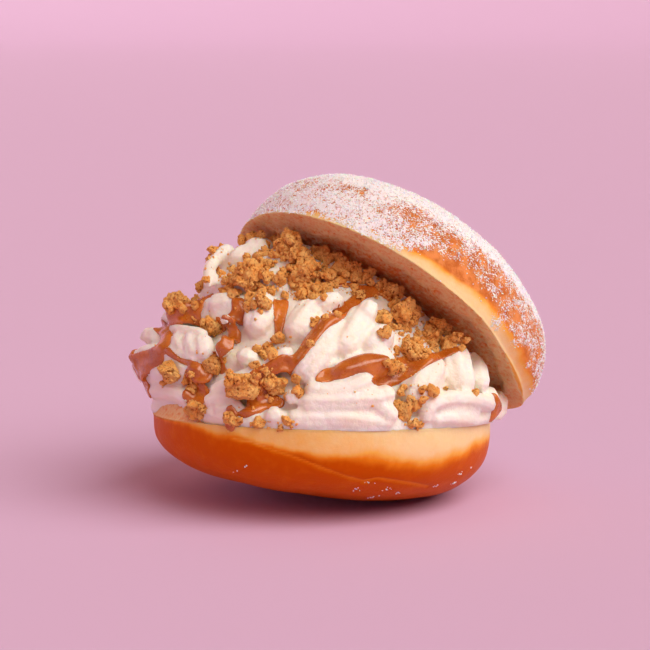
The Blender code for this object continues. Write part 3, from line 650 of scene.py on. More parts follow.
# By compass angle: the height over the cut where the pale ring ends, where the full brown
# begins, and where the sugar begins
LID_PALE_TO = [(0, 3.5), (45, 3.5), (90, 3), (135, 2.5), (187, 0.6), (224, 0.8), (240, 1.2), (250, 1.6),
               (265, 2.0), (275, 2.5), (285, 2.9), (297, 3.4), (307, 3.2), (320, 1.8), (335, 0.6)]
LID_BROWN_FROM = [(0, 9), (45, 9), (90, 8), (135, 7), (187, 3), (224, 3), (240, 4), (250, 4.5), (265, 5),
                  (275, 5.6), (285, 6.4), (297, 7.4), (307, 8.0), (320, 7.8), (335, 7.0)]
LID_SUGAR_FROM = [(0, 4), (45, 4), (90, 3), (135, 2), (187, 0), (225, 0), (234, 1.6), (244, 0.2),
                  (261, 0.3), (266, 1.8), (273, 6.4), (281, 6.4), (293, 7.6), (298, 7.2), (308, 6.2),
                  (317, 5.2), (328, 6), (335, 4.2)]
# Patches where the sugar has rubbed thin: compass angle, height over the cut, radius
BARE_PATCHES = [(218, 9.7, 1.2), (220, 12.2, 1.8), (229, 10.8, 1.6), (235, 12.8, 1.8), (241, 13.0, 2.0),
                (255, 12.7, 2.4), (261, 13.5, 2.4), (266, 11.1, 2.6), (274, 11.4, 3.0), (279, 12.2, 2.8),
                (280, 8.8, 2.0), (286, 9.2, 4.4), (290, 12.9, 3.0), (298, 11.8, 3.0), (306, 11.3, 3.0),
                (314, 8.8, 2.6), (325, 11.7, 2.2), (335, 8.6, 1.8)]
# Where sugar lies thick low down: compass angle, height over the cut, radius
THICK_PATCHES = [(243, 6.3, 4.0), (252, 4.9, 4.0), (262, 5.0, 3.0), (300, 9.0, 2.0), (307, 3.0, 2.2),
                 (319, 3.5, 1.0), (332, 3.9, 0.9)]
# How thickly the sugar lies between its start and the crest, by compass angle
LID_SUGAR_SHARE = [(0, 0.62), (90, 0.7), (187, 0.75), (225, 0.78), (245, 0.80), (262, 0.68), (275, 0.56),
                   (295, 0.48), (315, 0.46), (335, 0.48)]
# Above this height the sugar lies all over
CREST_FROM_TO = (14.5, 19.0)
SUGAR_EDGE_FROM_TO = (-2.2, 1.8)
SUGAR_CLUSTERS = (5.0, 0.22)
RAGGED_SIZE = 1.8
RAGGED_SUGAR = 0.14
THINNED_BY = 0.34
LEAST_SUGAR = 0.08
THICKNESS_LOW_DOWN = 0.8
STRAY_GRAINS = 0.015
NEARLY_NOTHING = 0.001
SUGAR_WHITE = (1.0, 0.985, 0.965)
SUGARED_AMBER = (0.80, 0.30, 0.09)
SUGARED_BROWN = (0.56, 0.15, 0.03)
GRAIN_COUNT = 13000

LID_UP = unit(math.sin(LID_TILT) * math.cos(LID_HEADING), math.sin(LID_TILT) * math.sin(LID_HEADING),
              math.cos(LID_TILT))
DOWNHILL = unit(LID_UP.z * math.cos(LID_HEADING), LID_UP.z * math.sin(LID_HEADING),
                -math.hypot(LID_UP.x, LID_UP.y))
ACROSS = unit(math.sin(LID_HEADING), -math.cos(LID_HEADING), 0.0)


def lid_compass(way):
    return math.degrees(LID_HEADING - math.atan2(way.dot(ACROSS), way.dot(DOWNHILL))) % 360


def lid_radius(way):
    return round_table(LID_RIM, lid_compass(way))


def sugared_crust():
    material, paint = finish("sugared crust", CRUST_SHINE)
    crust, crumb = crust_colours(paint)
    cut = paint.kept("cut").step(0.3, 0.7)
    speckle = paint.noise(0.45, 2.0, 0.7) * 0.65 + paint.noise(1.3) * 0.35
    sugar = paint.kept("sugar")
    dusting = (sugar + (speckle - 0.5) * 4.5 * sugar.step(0.0, 0.3)).step(0.30, 0.70) * 0.95
    browned = paint.noise(3.0, 4.0, 0.6).step(0.35, 0.65).blend(SUGARED_AMBER, SUGARED_BROWN)
    dusted = dusting.blend(paint.kept("bare").step(0.1, 0.8).blend(crust, browned), SUGAR_WHITE)
    rough = 0.46 + dusting * 0.3 + cut * 0.35
    feed(material, {"Base Color": cut.blend(dusted, crumb), "Roughness": rough},
         [(paint.noise(0.9, 4.0, 0.7) * (cut * 0.85 + 0.15), 1.1), (speckle * dusting, 0.25)])
    return material


lid = HalfBun(LID_CENTRE, LID_UP, lid_radius, LID_FULLNESS, LID_DEPTH, lid_compass)
lid_mesh = mesh_from("lid", lid.points, lid.faces)
torn, hollow = crumb_relief(lid, 21, np.zeros(len(lid.points)))
on_crust = lid.inset == 0
soft_lumps = layered_noise(lid.points, LID_LUMPS, 8)
sunk = np.where(on_crust, LID_CRUST_INSET - soft_lumps, torn + CRUMB_INSET)
lid_points = lid.points - facings(lid_mesh) * sunk[:, None]
tuck = TUCK * between(lid.compass, *TUCK_ANGLES)
tuck *= (1 - eased(lid.height, 0.0, TUCK_HEIGHT)) * (1 - eased(lid.inset, 0.0, TUCK_INSET))
outwards = lid_points - np.array(LID_CENTRE)
outwards -= (outwards @ np.array(LID_UP))[:, None] * np.array(LID_UP)
outwards /= np.linalg.norm(outwards, axis=1)[:, None] + NEARLY_NOTHING
move_points(lid_mesh, lid_points - outwards * tuck[:, None])

edge_wander = layered_noise(lid.points, LID_EDGE_WANDER, 12)
pale_to, brown_from = lid.read(LID_PALE_TO), lid.read(LID_BROWN_FROM)
lid_pale = 1 - eased(lid.height + edge_wander, pale_to - LID_EDGE_SOFTNESS, brown_from)
clusters = layered_noise(lid.points, [SUGAR_CLUSTERS], 14)
ragged = noise_over(lid.points, RAGGED_SIZE, 15)
sugar = lid.read(LID_SUGAR_SHARE) + clusters + RAGGED_SUGAR * ragged
bare = spots_over(lid, BARE_PATCHES) * (1 + 0.5 * ragged)
thick = spots_over(lid, THICK_PATCHES) * (0.7 + 0.7 * ragged)
crest = eased(lid.height + 1.6 * edge_wander, *CREST_FROM_TO)
sugar = np.clip(sugar - THINNED_BY * bare, LEAST_SUGAR, 1.0) * (1 - crest) + crest
above_start = lid.height + edge_wander * 1.2 - lid.read(LID_SUGAR_FROM)
sugar *= eased(above_start, *SUGAR_EDGE_FROM_TO)
sugar = np.clip(np.maximum(sugar, THICKNESS_LOW_DOWN * thick), 0, 1) * on_crust
browned = np.clip(bare * 0.8 + eased(lid.height, pale_to, brown_from), 0, 1)
flap_end = np.interp(lid.compass, *zip(*FLAP))
on_flap = (lid.inset > 0) & (lid.inset < flap_end + FLAP_EDGE)
flap_line = on_flap & (lid.inset > flap_end - FLAP_EDGE)
lid_pale = np.where(on_flap, np.where(flap_line, 1.0, FLAP_PALENESS), lid_pale)
remember(lid_mesh, "pale", lid_pale)
remember(lid_mesh, "cut", np.where(on_crust | on_flap, 0.0, 1.0))
# hollow carries the crumb's painted shade in its pores and deep inside
remember(lid_mesh, "hollow", hollow)
remember(lid_mesh, "sugar", sugar)
remember(lid_mesh, "bare", browned * on_crust)
grains = sugar_grains("sugar_on_lid", GRAIN_COUNT, lid_mesh, sugar + STRAY_GRAINS * on_crust, 5)
hand_over("lid", lid_mesh, sugared_crust(), "sugared_crust", "bun_lid")
hand_over("sugar_on_lid", grains, sugar_material, "sugared_crust").data.shade_flat()

# Piped whipped cream
# Soft ropes from a star nozzle, laid from the foot of the mound up under the lid and pressed
# together, so that they blend into folds with fine ridges left along them.
CREAM_RIM_RADIUS = 45.0
REACH = [(0, 39), (40, 41), (90, 41), (135, 41), (170, 41), (190, 40), (214, 35.5), (230, 32),
         (250, 30), (270, 28.5), (290, 27), (310, 26.5), (330, 29.5), (345, 33)]
BULGE = [(0, 4), (45, 3), (135, 5), (170, 7), (190, 7.5), (207, 9), (225, 9.5), (250, 9), (280, 8),
         (310, 7.5), (335, 6)]
BULGE_LEAN = 0.9
BULGE_FULLNESS = 0.8
LID_SHARE_OF_OUTWARD = 0.9
CORE_INSET = 3.5
CORE_ANGLES = range(90, 361, 15)
CORE_RISES = [0, 0.1, 0.2, 0.3, 0.4, 0.5, 0.6, 0.7, 0.8, 0.9, 1, 1.08]
ROPE_RIDGES = 7
RIDGE_DEPTH = 0.12
RIDGE_ROUNDNESS = 0.8
ROPE_STEP = 1.6
ROPE_SIDES = 48
ROPE_TWIST = math.radians(1.2)
# The ends of a rope are drawn in like a thumb, down to this share of its radius
TIP_SHARE = 0.2
CREAM_VOXEL = 0.48
CREAM_SETTLED = 0.4
CREAM_INSET = 0.1
# The cream's soft unevenness, each layer's lump size and height, and its creases
CREAM_LUMPS = ((7.0, 0.26), (2.2, 0.08), (0.9, 0.05))
CRINKLE_SIZE = 4.0
CRINKLE_DEPTH = 0.16
CRINKLE_SHARPNESS = 5
CREAM_TONES = ((0.93, 0.85, 0.71), (0.96, 0.91, 0.80))
# Name, radius, then stops of compass angle, rise up the mound's flank and height of the crest
ROPES = [
    ("skirt", 4.6, [(74, 0.1, 0), (100, 0.06, 0.5), (140, 0.05, 1), (175, 0.05, 1.2), (192, 0.07, -1),
                    (206, 0.1, -2.6), (222, 0.08, -1.6), (250, 0.05, -0.4), (290, 0.04, -0.4),
                    (330, 0.05, -0.2), (358, 0.08, 0), (372, 0.12, -0.5)]),
    ("back low", 5.8, [(84, 0.34, 0), (110, 0.27, 1), (145, 0.24, 2), (172, 0.22, 3), (188, 0.21, 3.6)]),
    ("back middle", 6.0, [(92, 0.56, 0.5), (120, 0.5, 1.2), (150, 0.46, 2), (178, 0.45, 2),
                          (198, 0.43, 1.4)]),
    ("back high", 6.0, [(100, 0.78, 0.5), (130, 0.72, 1), (160, 0.69, 1.6), (185, 0.67, 1),
                        (206, 0.66, 0.6)]),
    ("back top", 5.2, [(112, 0.96, 0), (145, 0.92, 0.5), (178, 0.89, 1.2), (203, 0.9, 1.6)]),
    ("left low tip", 2.9, [(186, 0.12, 5.6), (191.5, 0.15, 3.8), (201, 0.165, 3.2), (207.5, 0.185, 2.6),
                           (214, 0.19, 2.2), (219, 0.195, 1.6), (223, 0.19, 1)]),
    ("left foot", 2.4, [(188, 0.085, 2.8), (199.5, 0.095, 2.2), (207, 0.1, 1.8), (214, 0.095, 1.4),
                        (220, 0.085, 1)]),
    ("left middle tip", 2.4, [(187, 0.165, 10.5), (191.5, 0.19, 9), (196, 0.22, 7.6), (199.5, 0.24, 5.8),
                              (207, 0.24, 4), (213.5, 0.24, 2.8), (220.5, 0.23, 2)]),
    ("left upper tip", 2.7, [(188, 0.27, 10.7), (188.5, 0.3, 8.8), (193.5, 0.305, 7), (195.5, 0.315, 4.8),
                             (203, 0.305, 3.2), (210, 0.29, 2.2)]),
    ("finger", 1.7, [(191.5, 0.36, 3.3), (202, 0.36, 3.2), (208.5, 0.355, 2.8), (214, 0.355, 2.2),
                     (218.5, 0.345, 1.6)]),
    ("left belly high", 5.2, [(184, 0.24, 10.2), (183.5, 0.275, 5.8), (192.5, 0.295, 4), (206, 0.305, 2.2),
                              (216.5, 0.32, 1.4)]),
    ("left belly", 5.6, [(184.5, 0.14, 13), (183, 0.18, 8.4), (197.5, 0.205, 5), (209, 0.22, 3),
                         (218, 0.225, 1.4)]),
    ("pleat 1", 2.6, [(203.5, 0.345, 3.2), (208.5, 0.29, 3.6), (213.5, 0.25, 3)]),
    ("pleat 2", 2.7, [(210, 0.345, 2.8), (215.5, 0.285, 3.3), (219, 0.24, 2.8)]),
    ("pleat 3", 2.7, [(215.5, 0.35, 2.4), (220, 0.285, 2.8), (222.5, 0.24, 2.3)]),
    ("pleat 4", 2.2, [(224.5, 0.37, 1.5), (226.5, 0.31, 1.8), (226, 0.265, 1.4)]),
    ("ledge", 2.8, [(188, 0.41, 5.6), (196.5, 0.43, 5.2), (201, 0.46, 4.2), (203.5, 0.505, 2.6)]),
    ("grey fold", 3.2, [(210, 0.515, 3), (213.5, 0.52, 2.8), (216.5, 0.54, 2.3), (219, 0.565, 1.6)]),
    ("lump under curl", 2.8, [(205, 0.63, 3), (209.5, 0.635, 2.8), (213.5, 0.645, 2.3), (217, 0.66, 1.4)]),
    ("top curl", 3.1, [(193, 0.75, 4.6), (195.5, 0.775, 4.2), (199, 0.79, 3.4), (203.5, 0.795, 2.2)]),
    ("tube", 1.9, [(198, 0.85, 5.2), (198.5, 0.8, 5.9), (199, 0.755, 5.9), (200.5, 0.7, 5.9),
                   (206, 0.635, 5.9), (210.5, 0.57, 5.4)]),
    ("white lump", 3.5, [(204, 0.735, 4.2), (203.5, 0.795, 4.2), (204.5, 0.84, 3.6), (209.5, 0.84, 2.4)]),
    ("high lump", 2.8, [(203, 0.84, 4.2), (204, 0.88, 3.8), (209, 0.885, 2.4)]),
    ("small lump", 1.9, [(220.5, 0.455, 1.9), (223.5, 0.42, 2)]),
    ("upper body", 5.4, [(195, 0.525, 1.4), (210, 0.51, 1), (218.5, 0.525, 0.9), (224, 0.575, 0.9)]),
    ("upper body 2", 5.4, [(197, 0.615, 1.6), (206, 0.63, 1.2), (214.5, 0.655, 1), (222, 0.7, 0.9),
                           (227.5, 0.78, 0.6)]),
    ("upper body 3", 5.4, [(189, 0.775, 2.2), (201.5, 0.755, 1.6), (209.5, 0.785, 1), (219, 0.845, 0.8),
                           (229.5, 0.895, 0.4)]),
    ("panel high", 4.6, [(225, 0.63, 1), (228.5, 0.545, 1.5), (231, 0.465, 1.6), (231.5, 0.41, 1.4)]),
    ("panel low", 3.7, [(234.5, 0.345, 1.9), (235, 0.295, 1.6), (234.5, 0.255, 1)]),
    ("third panel", 4.1, [(246, 0.66, 1.6), (245.5, 0.57, 1.6), (245.5, 0.49, 1.4), (245.5, 0.42, 1.2)]),
    ("bright band", 2.8, [(254.5, 0.71, 2.2), (250.5, 0.67, 2.2), (247.5, 0.61, 1.8)]),
    ("front strip", 2.4, [(248.5, 0.365, 1.8), (247, 0.31, 1.5), (244.5, 0.26, 1.3), (241.5, 0.215, 2),
                          (237.5, 0.175, 2.2), (233, 0.14, 2.2), (228.5, 0.105, 1.8)]),
    ("second strip", 2.1, [(245, 0.19, 1.3), (240, 0.155, 1.7), (235.5, 0.115, 2), (230, 0.085, 2),
                           (227.5, 0.065, 1.6)]),
    ("third strip", 2.4, [(241, 0.085, 1.2), (236.5, 0.065, 1.8), (231, 0.06, 1.5)]),
    ("left front foot", 3.0, [(224.5, 0.08, 0.2), (234.5, 0.05, 0.6), (242.5, 0.045, 0.6),
                              (249.5, 0.045, 0.6)]),
    ("pink lump", 2.7, [(249.5, 0.06, 1.3), (253, 0.05, 1.9), (256, 0.065, 1.5)]),
    ("near lump", 2.2, [(253.5, 0.135, 1.6), (256.5, 0.13, 1.9), (259.5, 0.12, 1.4)]),
    ("middle panel", 5.2, [(257, 0.625, 1.2), (257, 0.5, 1.7), (257, 0.395, 1.7), (256, 0.3, 1.3),
                           (255, 0.225, 0.9)]),
    ("peak", 2.9, [(263.5, 0.75, 3.4), (264.5, 0.68, 3.2), (264.5, 0.61, 2.2)]),
    ("peak flank", 4.4, [(263.5, 0.715, 1.8), (263.5, 0.585, 1.9), (263.5, 0.47, 1.7), (262.5, 0.39, 1.2)]),
    ("right shadow", 4.0, [(274.5, 0.65, 1), (272.5, 0.52, 1.4), (271, 0.44, 1.2)]),
    ("front fold", 2.8, [(277.5, 0.295, 1.8), (274.5, 0.235, 2.2), (271.5, 0.2, 2), (267, 0.19, 1.7),
                         (262.5, 0.185, 1.4), (258, 0.185, 1.2)]),
    ("pour bed", 4.4, [(281, 0.485, 1), (275.5, 0.385, 1.2), (269.5, 0.315, 1.2), (263.5, 0.265, 1)]),
    ("white band", 3.0, [(258.5, 0.12, 1.2), (265, 0.13, 1.7), (271.5, 0.145, 2), (277.5, 0.16, 2.3),
                         (282.5, 0.18, 2.4), (286.5, 0.225, 2)]),
    ("white band end", 2.6, [(281.5, 0.15, 2), (286.5, 0.11, 2), (292.5, 0.055, 1.6)]),
    ("bottom band", 3.1, [(256.5, 0.05, 0.8), (265, 0.055, 1.1), (274, 0.065, 1.3), (282.5, 0.065, 1.1),
                          (293.5, 0.05, 0.7)]),
    ("broad panel", 5.4, [(298.5, 0.565, 1.4), (296.5, 0.385, 1.9), (296, 0.26, 1.9), (298, 0.14, 1.4)]),
    ("right panel", 5.0, [(310.5, 0.78, 1.4), (310.5, 0.565, 1.7), (314, 0.41, 1.5), (319.5, 0.295, 1)]),
    ("scallop", 3.0, [(323.5, 0.88, 0.8), (326, 0.765, 1.2), (324, 0.54, 1.3), (326.5, 0.38, 1)]),
    ("right curl", 2.2, [(304, 0.025, 1.4), (301.5, 0.095, 2.3), (301.5, 0.155, 2.7), (305.5, 0.2, 2.6),
                         (312.5, 0.225, 2.2), (322, 0.245, 1.8), (335.5, 0.25, 1.2)]),
    ("lower tube", 2.0, [(305.5, 0.045, 1.6), (310, 0.06, 2.1), (317.5, 0.065, 1.9), (330.5, 0.045, 1.3),
                         (349, 0.045, 0.8)]),
    ("curl's hollow", 2.4, [(304, 0.12, 0.9), (315, 0.15, 0.9), (329, 0.16, 0.5)]),
    ("right end fold", 2.6, [(327.5, 0.355, 1.2), (335.5, 0.285, 1.3), (345.5, 0.155, 1)]),
    ("far right", 5.4, [(336, 0.06, 0), (339, 0.3, 0.6), (334, 0.58, 0.5)]),
    ("right end", 4.6, [(352, 0.08, 0), (356, 0.4, 0.6), (350, 0.75, 0)]),
]


def mound_frame(angle):
    """The flank's foot on the rim, its top under the lid, and the way it faces."""
    heading = math.radians(angle)
    level = Vector((math.cos(heading), math.sin(heading), 0.0))
    on_base = (level - BASE_UP * level.dot(BASE_UP)).normalized()
    on_lid = DOWNHILL * math.cos(heading - LID_HEADING) + ACROSS * level.dot(ACROSS)
    foot = RIM_CENTRE + on_base * CREAM_RIM_RADIUS
    top = LID_CENTRE + on_lid * round_table(REACH, angle)
    along = (top - foot).normalized()
    out = on_base + on_lid * LID_SHARE_OF_OUTWARD
    out = (out - along * out.dot(along)).normalized()
    return foot, top, out


def mound_point(angle, rise, lift=0.0):
    """A point over the cream's flank, with lift counted outwards from its surface."""
    foot, top, out = mound_frame(angle)
    share = min(max(rise, 0.0), 1.0)
    swell = max(0.0, math.sin(math.pi * share ** BULGE_LEAN)) ** BULGE_FULLNESS
    return foot.lerp(top, rise) + out * (swell * round_table(BULGE, angle) + lift)


def smooth_route(stops, step):
    """Stops about a step apart on a smooth curve through the given ones."""
    stops = [Vector(stop) for stop in stops]
    padded = [stops[0] * 2 - stops[1]] + stops + [stops[-1] * 2 - stops[-2]]
    route = []
    for before, start, end, after in zip(padded, padded[1:], padded[2:], padded[3:]):
        length = (mound_point(*start[:2]) - mound_point(*end[:2])).length
        pieces = max(1, round(length / step))
        for piece in range(pieces):
            at_start, leaving, at_end, arriving = curve_weights(piece / pieces)
            route.append(start * at_start + end * at_end + (end - before) / 2 * leaving
                         + (after - start) / 2 * arriving)
    return route + [stops[-1]]


def travelled_along(points):
    distances = [0.0]
    for start, end in zip(points, points[1:]):
        distances.append(distances[-1] + (end - start).length)
    return distances


def rope_rings(points, radius):
    """Rings of a ridged rope along the points, drawn in at both ends like a thumb."""
    distances = travelled_along(points)
    rings = []
    side = None
    for at, (place, distance) in enumerate(zip(points, distances)):
        along = (points[min(at + 1, len(points) - 1)] - points[max(at - 1, 0)]).normalized()
        side = along.orthogonal() if side is None else side
        side = (side - along * side.dot(along)).normalized()
        other = along.cross(side)
        drawn_in = 1 - min(min(distance, distances[-1] - distance) / radius, 1.0)
        here = radius * max(TIP_SHARE, math.sqrt(1 - drawn_in ** 2))
        turns = np.arange(ROPE_SIDES) * 2 * math.pi / ROPE_SIDES
        lobes = 1 - RIDGE_DEPTH * (1 - np.abs(np.cos(ROPE_RIDGES * turns / 2)) ** RIDGE_ROUNDNESS)
        turned = turns + ROPE_TWIST * distance
        ring = (np.outer(np.cos(turned) * lobes, side) + np.outer(np.sin(turned) * lobes, other)) * here
        rings.append(ring + np.array(place))
    return rings


def merged(parts):
    """One list of points and one of faces from several."""
    points, faces, count = [], [], 0
    for part_points, part_faces in parts:
        points.append(np.asarray(part_points))
        faces += [tuple(corner + count for corner in face) for face in part_faces]
        count += len(part_points)
    return np.concatenate(points), faces


def evaluated(obj):
    """The object's mesh with its modifiers applied, and the object itself removed."""
    bpy.context.view_layer.update()
    graph = bpy.context.evaluated_depsgraph_get()
    mesh = bpy.data.meshes.new_from_object(obj.evaluated_get(graph), depsgraph=graph)
    bpy.data.objects.remove(obj)
    return mesh


def melted(name, parts, voxel, smoothing):
    """Melts overlapping closed shapes into one even skin."""
    obj = link(name, mesh_from(name, *merged(parts)))
    melt = obj.modifiers.new("melt", "REMESH")
    melt.mode = "VOXEL"
    melt.voxel_size = voxel
    ease = obj.modifiers.new("ease", "SMOOTH")
    ease.factor = 0.5
    ease.iterations = smoothing
    return evaluated(obj)


def core_hull():
    bm = bmesh.new()
    for angle in CORE_ANGLES:
        for rise in CORE_RISES:
            bm.verts.new(mound_point(angle, rise, -CORE_INSET))
    for angle in range(0, 360, 15):
        inner = RIM_CENTRE.lerp(mound_frame(angle)[0], 1 - CORE_INSET / CREAM_RIM_RADIUS)
        bm.verts.new(inner - BASE_UP)
    hull = bmesh.ops.convex_hull(bm, input=bm.verts)
    spare = [item for item in hull["geom_interior"] if isinstance(item, bmesh.types.BMVert)]
    bmesh.ops.delete(bm, geom=spare, context="VERTS")
    bmesh.ops.recalc_face_normals(bm, faces=bm.faces)
    bm.verts.index_update()
    points = [vert.co[:] for vert in bm.verts]
    faces = [[vert.index for vert in face.verts] for face in bm.faces]
    bm.free()
    return points, faces


def cut_flat(mesh, centre, facing):
    """Takes away what lies beyond a plane and closes the mesh there."""
    bm = bmesh.new()
    bm.from_mesh(mesh)
    bmesh.ops.bisect_plane(bm, geom=bm.verts[:] + bm.edges[:] + bm.faces[:], plane_co=centre,
                           plane_no=facing, clear_outer=True, dist=0.001)
    bmesh.ops.holes_fill(bm, edges=[edge for edge in bm.edges if edge.is_boundary], sides=0)
    bm.to_mesh(mesh)
    bm.free()


def whipped_finish():
    material, paint = finish("whipped cream", {"Subsurface Weight": 0.55, "Subsurface Scale": 0.003,
                                               "Subsurface Radius": (1.0, 0.55, 0.35),
                                               "Specular IOR Level": 0.4})
    tone = paint.noise(9.0).step(0.3, 0.7).blend(*CREAM_TONES)
    bubbles = paint.noise(0.45, 2.0, 0.6)
    feed(material, {"Base Color": tone, "Roughness": 0.38 + paint.noise(1.2) * 0.16},
         [(paint.noise(1.6, 3.0, 0.55), 0.35), (bubbles, 0.10)])
    return material


size_low, size_high = (np.array(corner) / MM for corner in cad_box)
rope_parts = [core_hull()]
for name, radius, stops in ROPES:
    route = smooth_route(stops, ROPE_STEP)
    middle = [mound_point(angle, rise, crest - radius) for angle, rise, crest in route]
    rope_parts.append(skin_over(rope_rings(middle, radius)))
cream_mesh = melted("cream", rope_parts, CREAM_VOXEL, 1)
cream_points = places(cream_mesh)
swell = layered_noise(cream_points, CREAM_LUMPS, 31)
crinkled = 1 - np.abs(noise_over(cream_points, CRINKLE_SIZE, 34))
swell -= CRINKLE_DEPTH * crinkled ** CRINKLE_SHARPNESS
cream_points = cream_points + facings(cream_mesh) * (swell - CREAM_INSET)[:, None]
move_points(cream_mesh, np.clip(cream_points, size_low, size_high))
cut_flat(cream_mesh, LID_CENTRE - LID_UP * 0.1, LID_UP)
cut_flat(cream_mesh, RIM_CENTRE - BASE_UP * CREAM_SETTLED, -BASE_UP)


def skin_of(mesh):
    return places(mesh), [tuple(face.vertices) for face in mesh.polygons]


base_skin = (base_points, base.faces)
cream_skin = skin_of(cream_mesh)
hand_over("cream_ropes", cream_mesh, whipped_finish(), "whipped_cream", "cream")

# Caramel
# A glossy amber sauce, poured from a spoon in flat threads that cling to the cream's folds, run
# together where they cross and end in fat drops.
DROP_HEIGHT = 25.0
CARAMEL_STEP = 0.9
CARAMEL_ACROSS = 11
CARAMEL_THICKNESS = 0.38
CARAMEL_VOXEL = 0.38
CARAMEL_SMOOTHING = 4
CARAMEL_TONES = ((0.44, 0.10, 0.006), (0.62, 0.18, 0.017))
# How much a thread's width wanders, over what length, and the share of it left at the tips
POUR_WANDER = 0.22
POUR_WANDER_LENGTH = 6.0
POUR_TIP_SHARE = 0.25
# A thread's way is taken over this many steps on either side
POUR_WAY_STEPS = 3
# Its points are dropped from this high, and hang down a little where nothing is near below
POUR_CLEARANCE = 6.0
POUR_OVERHANG = 2.5
POUR_HANGS_DOWN = 1.2
# It fills this share of the dips that this many rounds of levelling would fill
POUR_LEVELLING = 6
POUR_FILLS = 0.8
POUR_LIES_OVER = 0.05
POUR_GOES_UNDER = 0.5
# Name, then stops of compass angle, rise and half width
POURS = [
    ("left pour", [(190.5, 0.38, 1.4), (199.5, 0.32, 2), (203, 0.28, 2.3), (204.5, 0.23, 2.4),
                   (200.5, 0.19, 2.3), (194.5, 0.15, 2.6), (190, 0.115, 2.4), (190, 0.085, 2),
                   (194, 0.06, 1.2)]),
    ("left wrap", [(188.5, 0.24, 0.9), (191, 0.19, 1), (190.5, 0.15, 1.6), (187, 0.13, 2), (187, 0.1, 1.8)]),
    ("under the fan", [(206.5, 0.24, 1.4), (212, 0.215, 0.9), (217, 0.205, 0.8), (220.5, 0.21, 1),
                       (223, 0.2, 1.6)]),
    ("ledge", [(196.5, 0.39, 2), (201.5, 0.42, 2.6), (204.5, 0.46, 2.8), (205.5, 0.53, 1.8), (206, 0.58, 1)]),
    ("low patch", [(221.5, 0.23, 1.6), (222.5, 0.18, 2), (219, 0.155, 2.3), (219.5, 0.1, 2.1),
                   (219, 0.05, 1.4)]),
    ("low patch front", [(221, 0.17, 1.8), (221, 0.11, 1.8), (223.5, 0.06, 1.6), (223.5, 0.03, 1.2)]),
    ("second stripe", [(220, 0.57, 1.4), (223, 0.5, 1.8), (222.5, 0.46, 1.7), (224.5, 0.39, 1.7),
                       (228, 0.32, 1.7), (226, 0.28, 2), (223.5, 0.23, 2.2)]),
    ("drop", [(217, 0.46, 1.1), (216.5, 0.42, 2)]),
    ("third stripe", [(231.5, 0.65, 1.5), (235, 0.57, 1.5), (238, 0.49, 1.4), (240, 0.43, 1)]),
    ("loop", [(244, 0.82, 0.9), (249.5, 0.86, 1.1), (256, 0.88, 1.5), (261.5, 0.91, 1.8), (267.5, 0.92, 1.6),
              (272, 0.89, 1.1)]),
    ("long pour", [(262.5, 0.91, 1.8), (257.5, 0.83, 1.7), (256.5, 0.74, 1.7), (256, 0.59, 2.2),
                   (254, 0.51, 2.3), (253, 0.43, 2.1), (252.5, 0.36, 2), (251.5, 0.3, 1.8), (248, 0.27, 1.8),
                   (245.5, 0.23, 1.9), (243.5, 0.18, 2.2), (243.5, 0.13, 2.8)]),
    ("pool", [(246, 0.16, 2.4), (245, 0.11, 3), (244, 0.05, 1.8), (241.5, 0.03, 1)]),
    ("pool arm", [(244.5, 0.16, 1.8), (248.5, 0.13, 2.3), (252, 0.13, 1.6), (253.5, 0.14, 1)]),
    ("right pour", [(261, 0.21, 1.2), (263, 0.26, 2), (266, 0.28, 2.2), (269, 0.32, 2.6), (272, 0.35, 3.2),
                    (276, 0.36, 3), (280.5, 0.39, 2.2)]),
    ("right band", [(276.5, 0.24, 0.9), (280.5, 0.29, 1.6), (284.5, 0.33, 1.8), (288, 0.38, 1.7),
                    (290.5, 0.43, 1.5), (294.5, 0.5, 1.4), (303.5, 0.64, 1.2), (306.5, 0.69, 0.8)]),
    ("right back band", [(281.5, 0.41, 2.4), (288.5, 0.48, 2.2), (293.5, 0.56, 1.8)]),
    ("right end drip", [(329, 0.37, 1), (333.5, 0.25, 1.6), (338, 0.14, 1.9), (338.5, 0.04, 1.5),
                        (339, -0.02, 1.1)]),
    ("rim drip", [(239, 0.06, 1.4), (239, 0.02, 1.8), (239.5, 0, 2), (241, -0.03, 1.6)]),
    ("back pour", [(128, 0.86, 2), (133, 0.62, 2.4), (130, 0.38, 2.4), (124, 0.2, 2)]),
    ("far back pour", [(160, 0.9, 1.8), (164, 0.66, 2.2), (158, 0.44, 2.2), (150, 0.26, 1.8)]),
]


def tree_over(*skins):
    """What a ray can hit: all of these skins together."""
    points, faces = merged(skins)
    return BVHTree.FromPolygons(points.tolist(), faces)


def landing(tree, angle, rise):
    """Where something dropped on the flank lands, and the way out of the flank there."""
    out = mound_frame(angle)[2]
    return tree.ray_cast(mound_point(angle, rise, DROP_HEIGHT), -out)[0], out


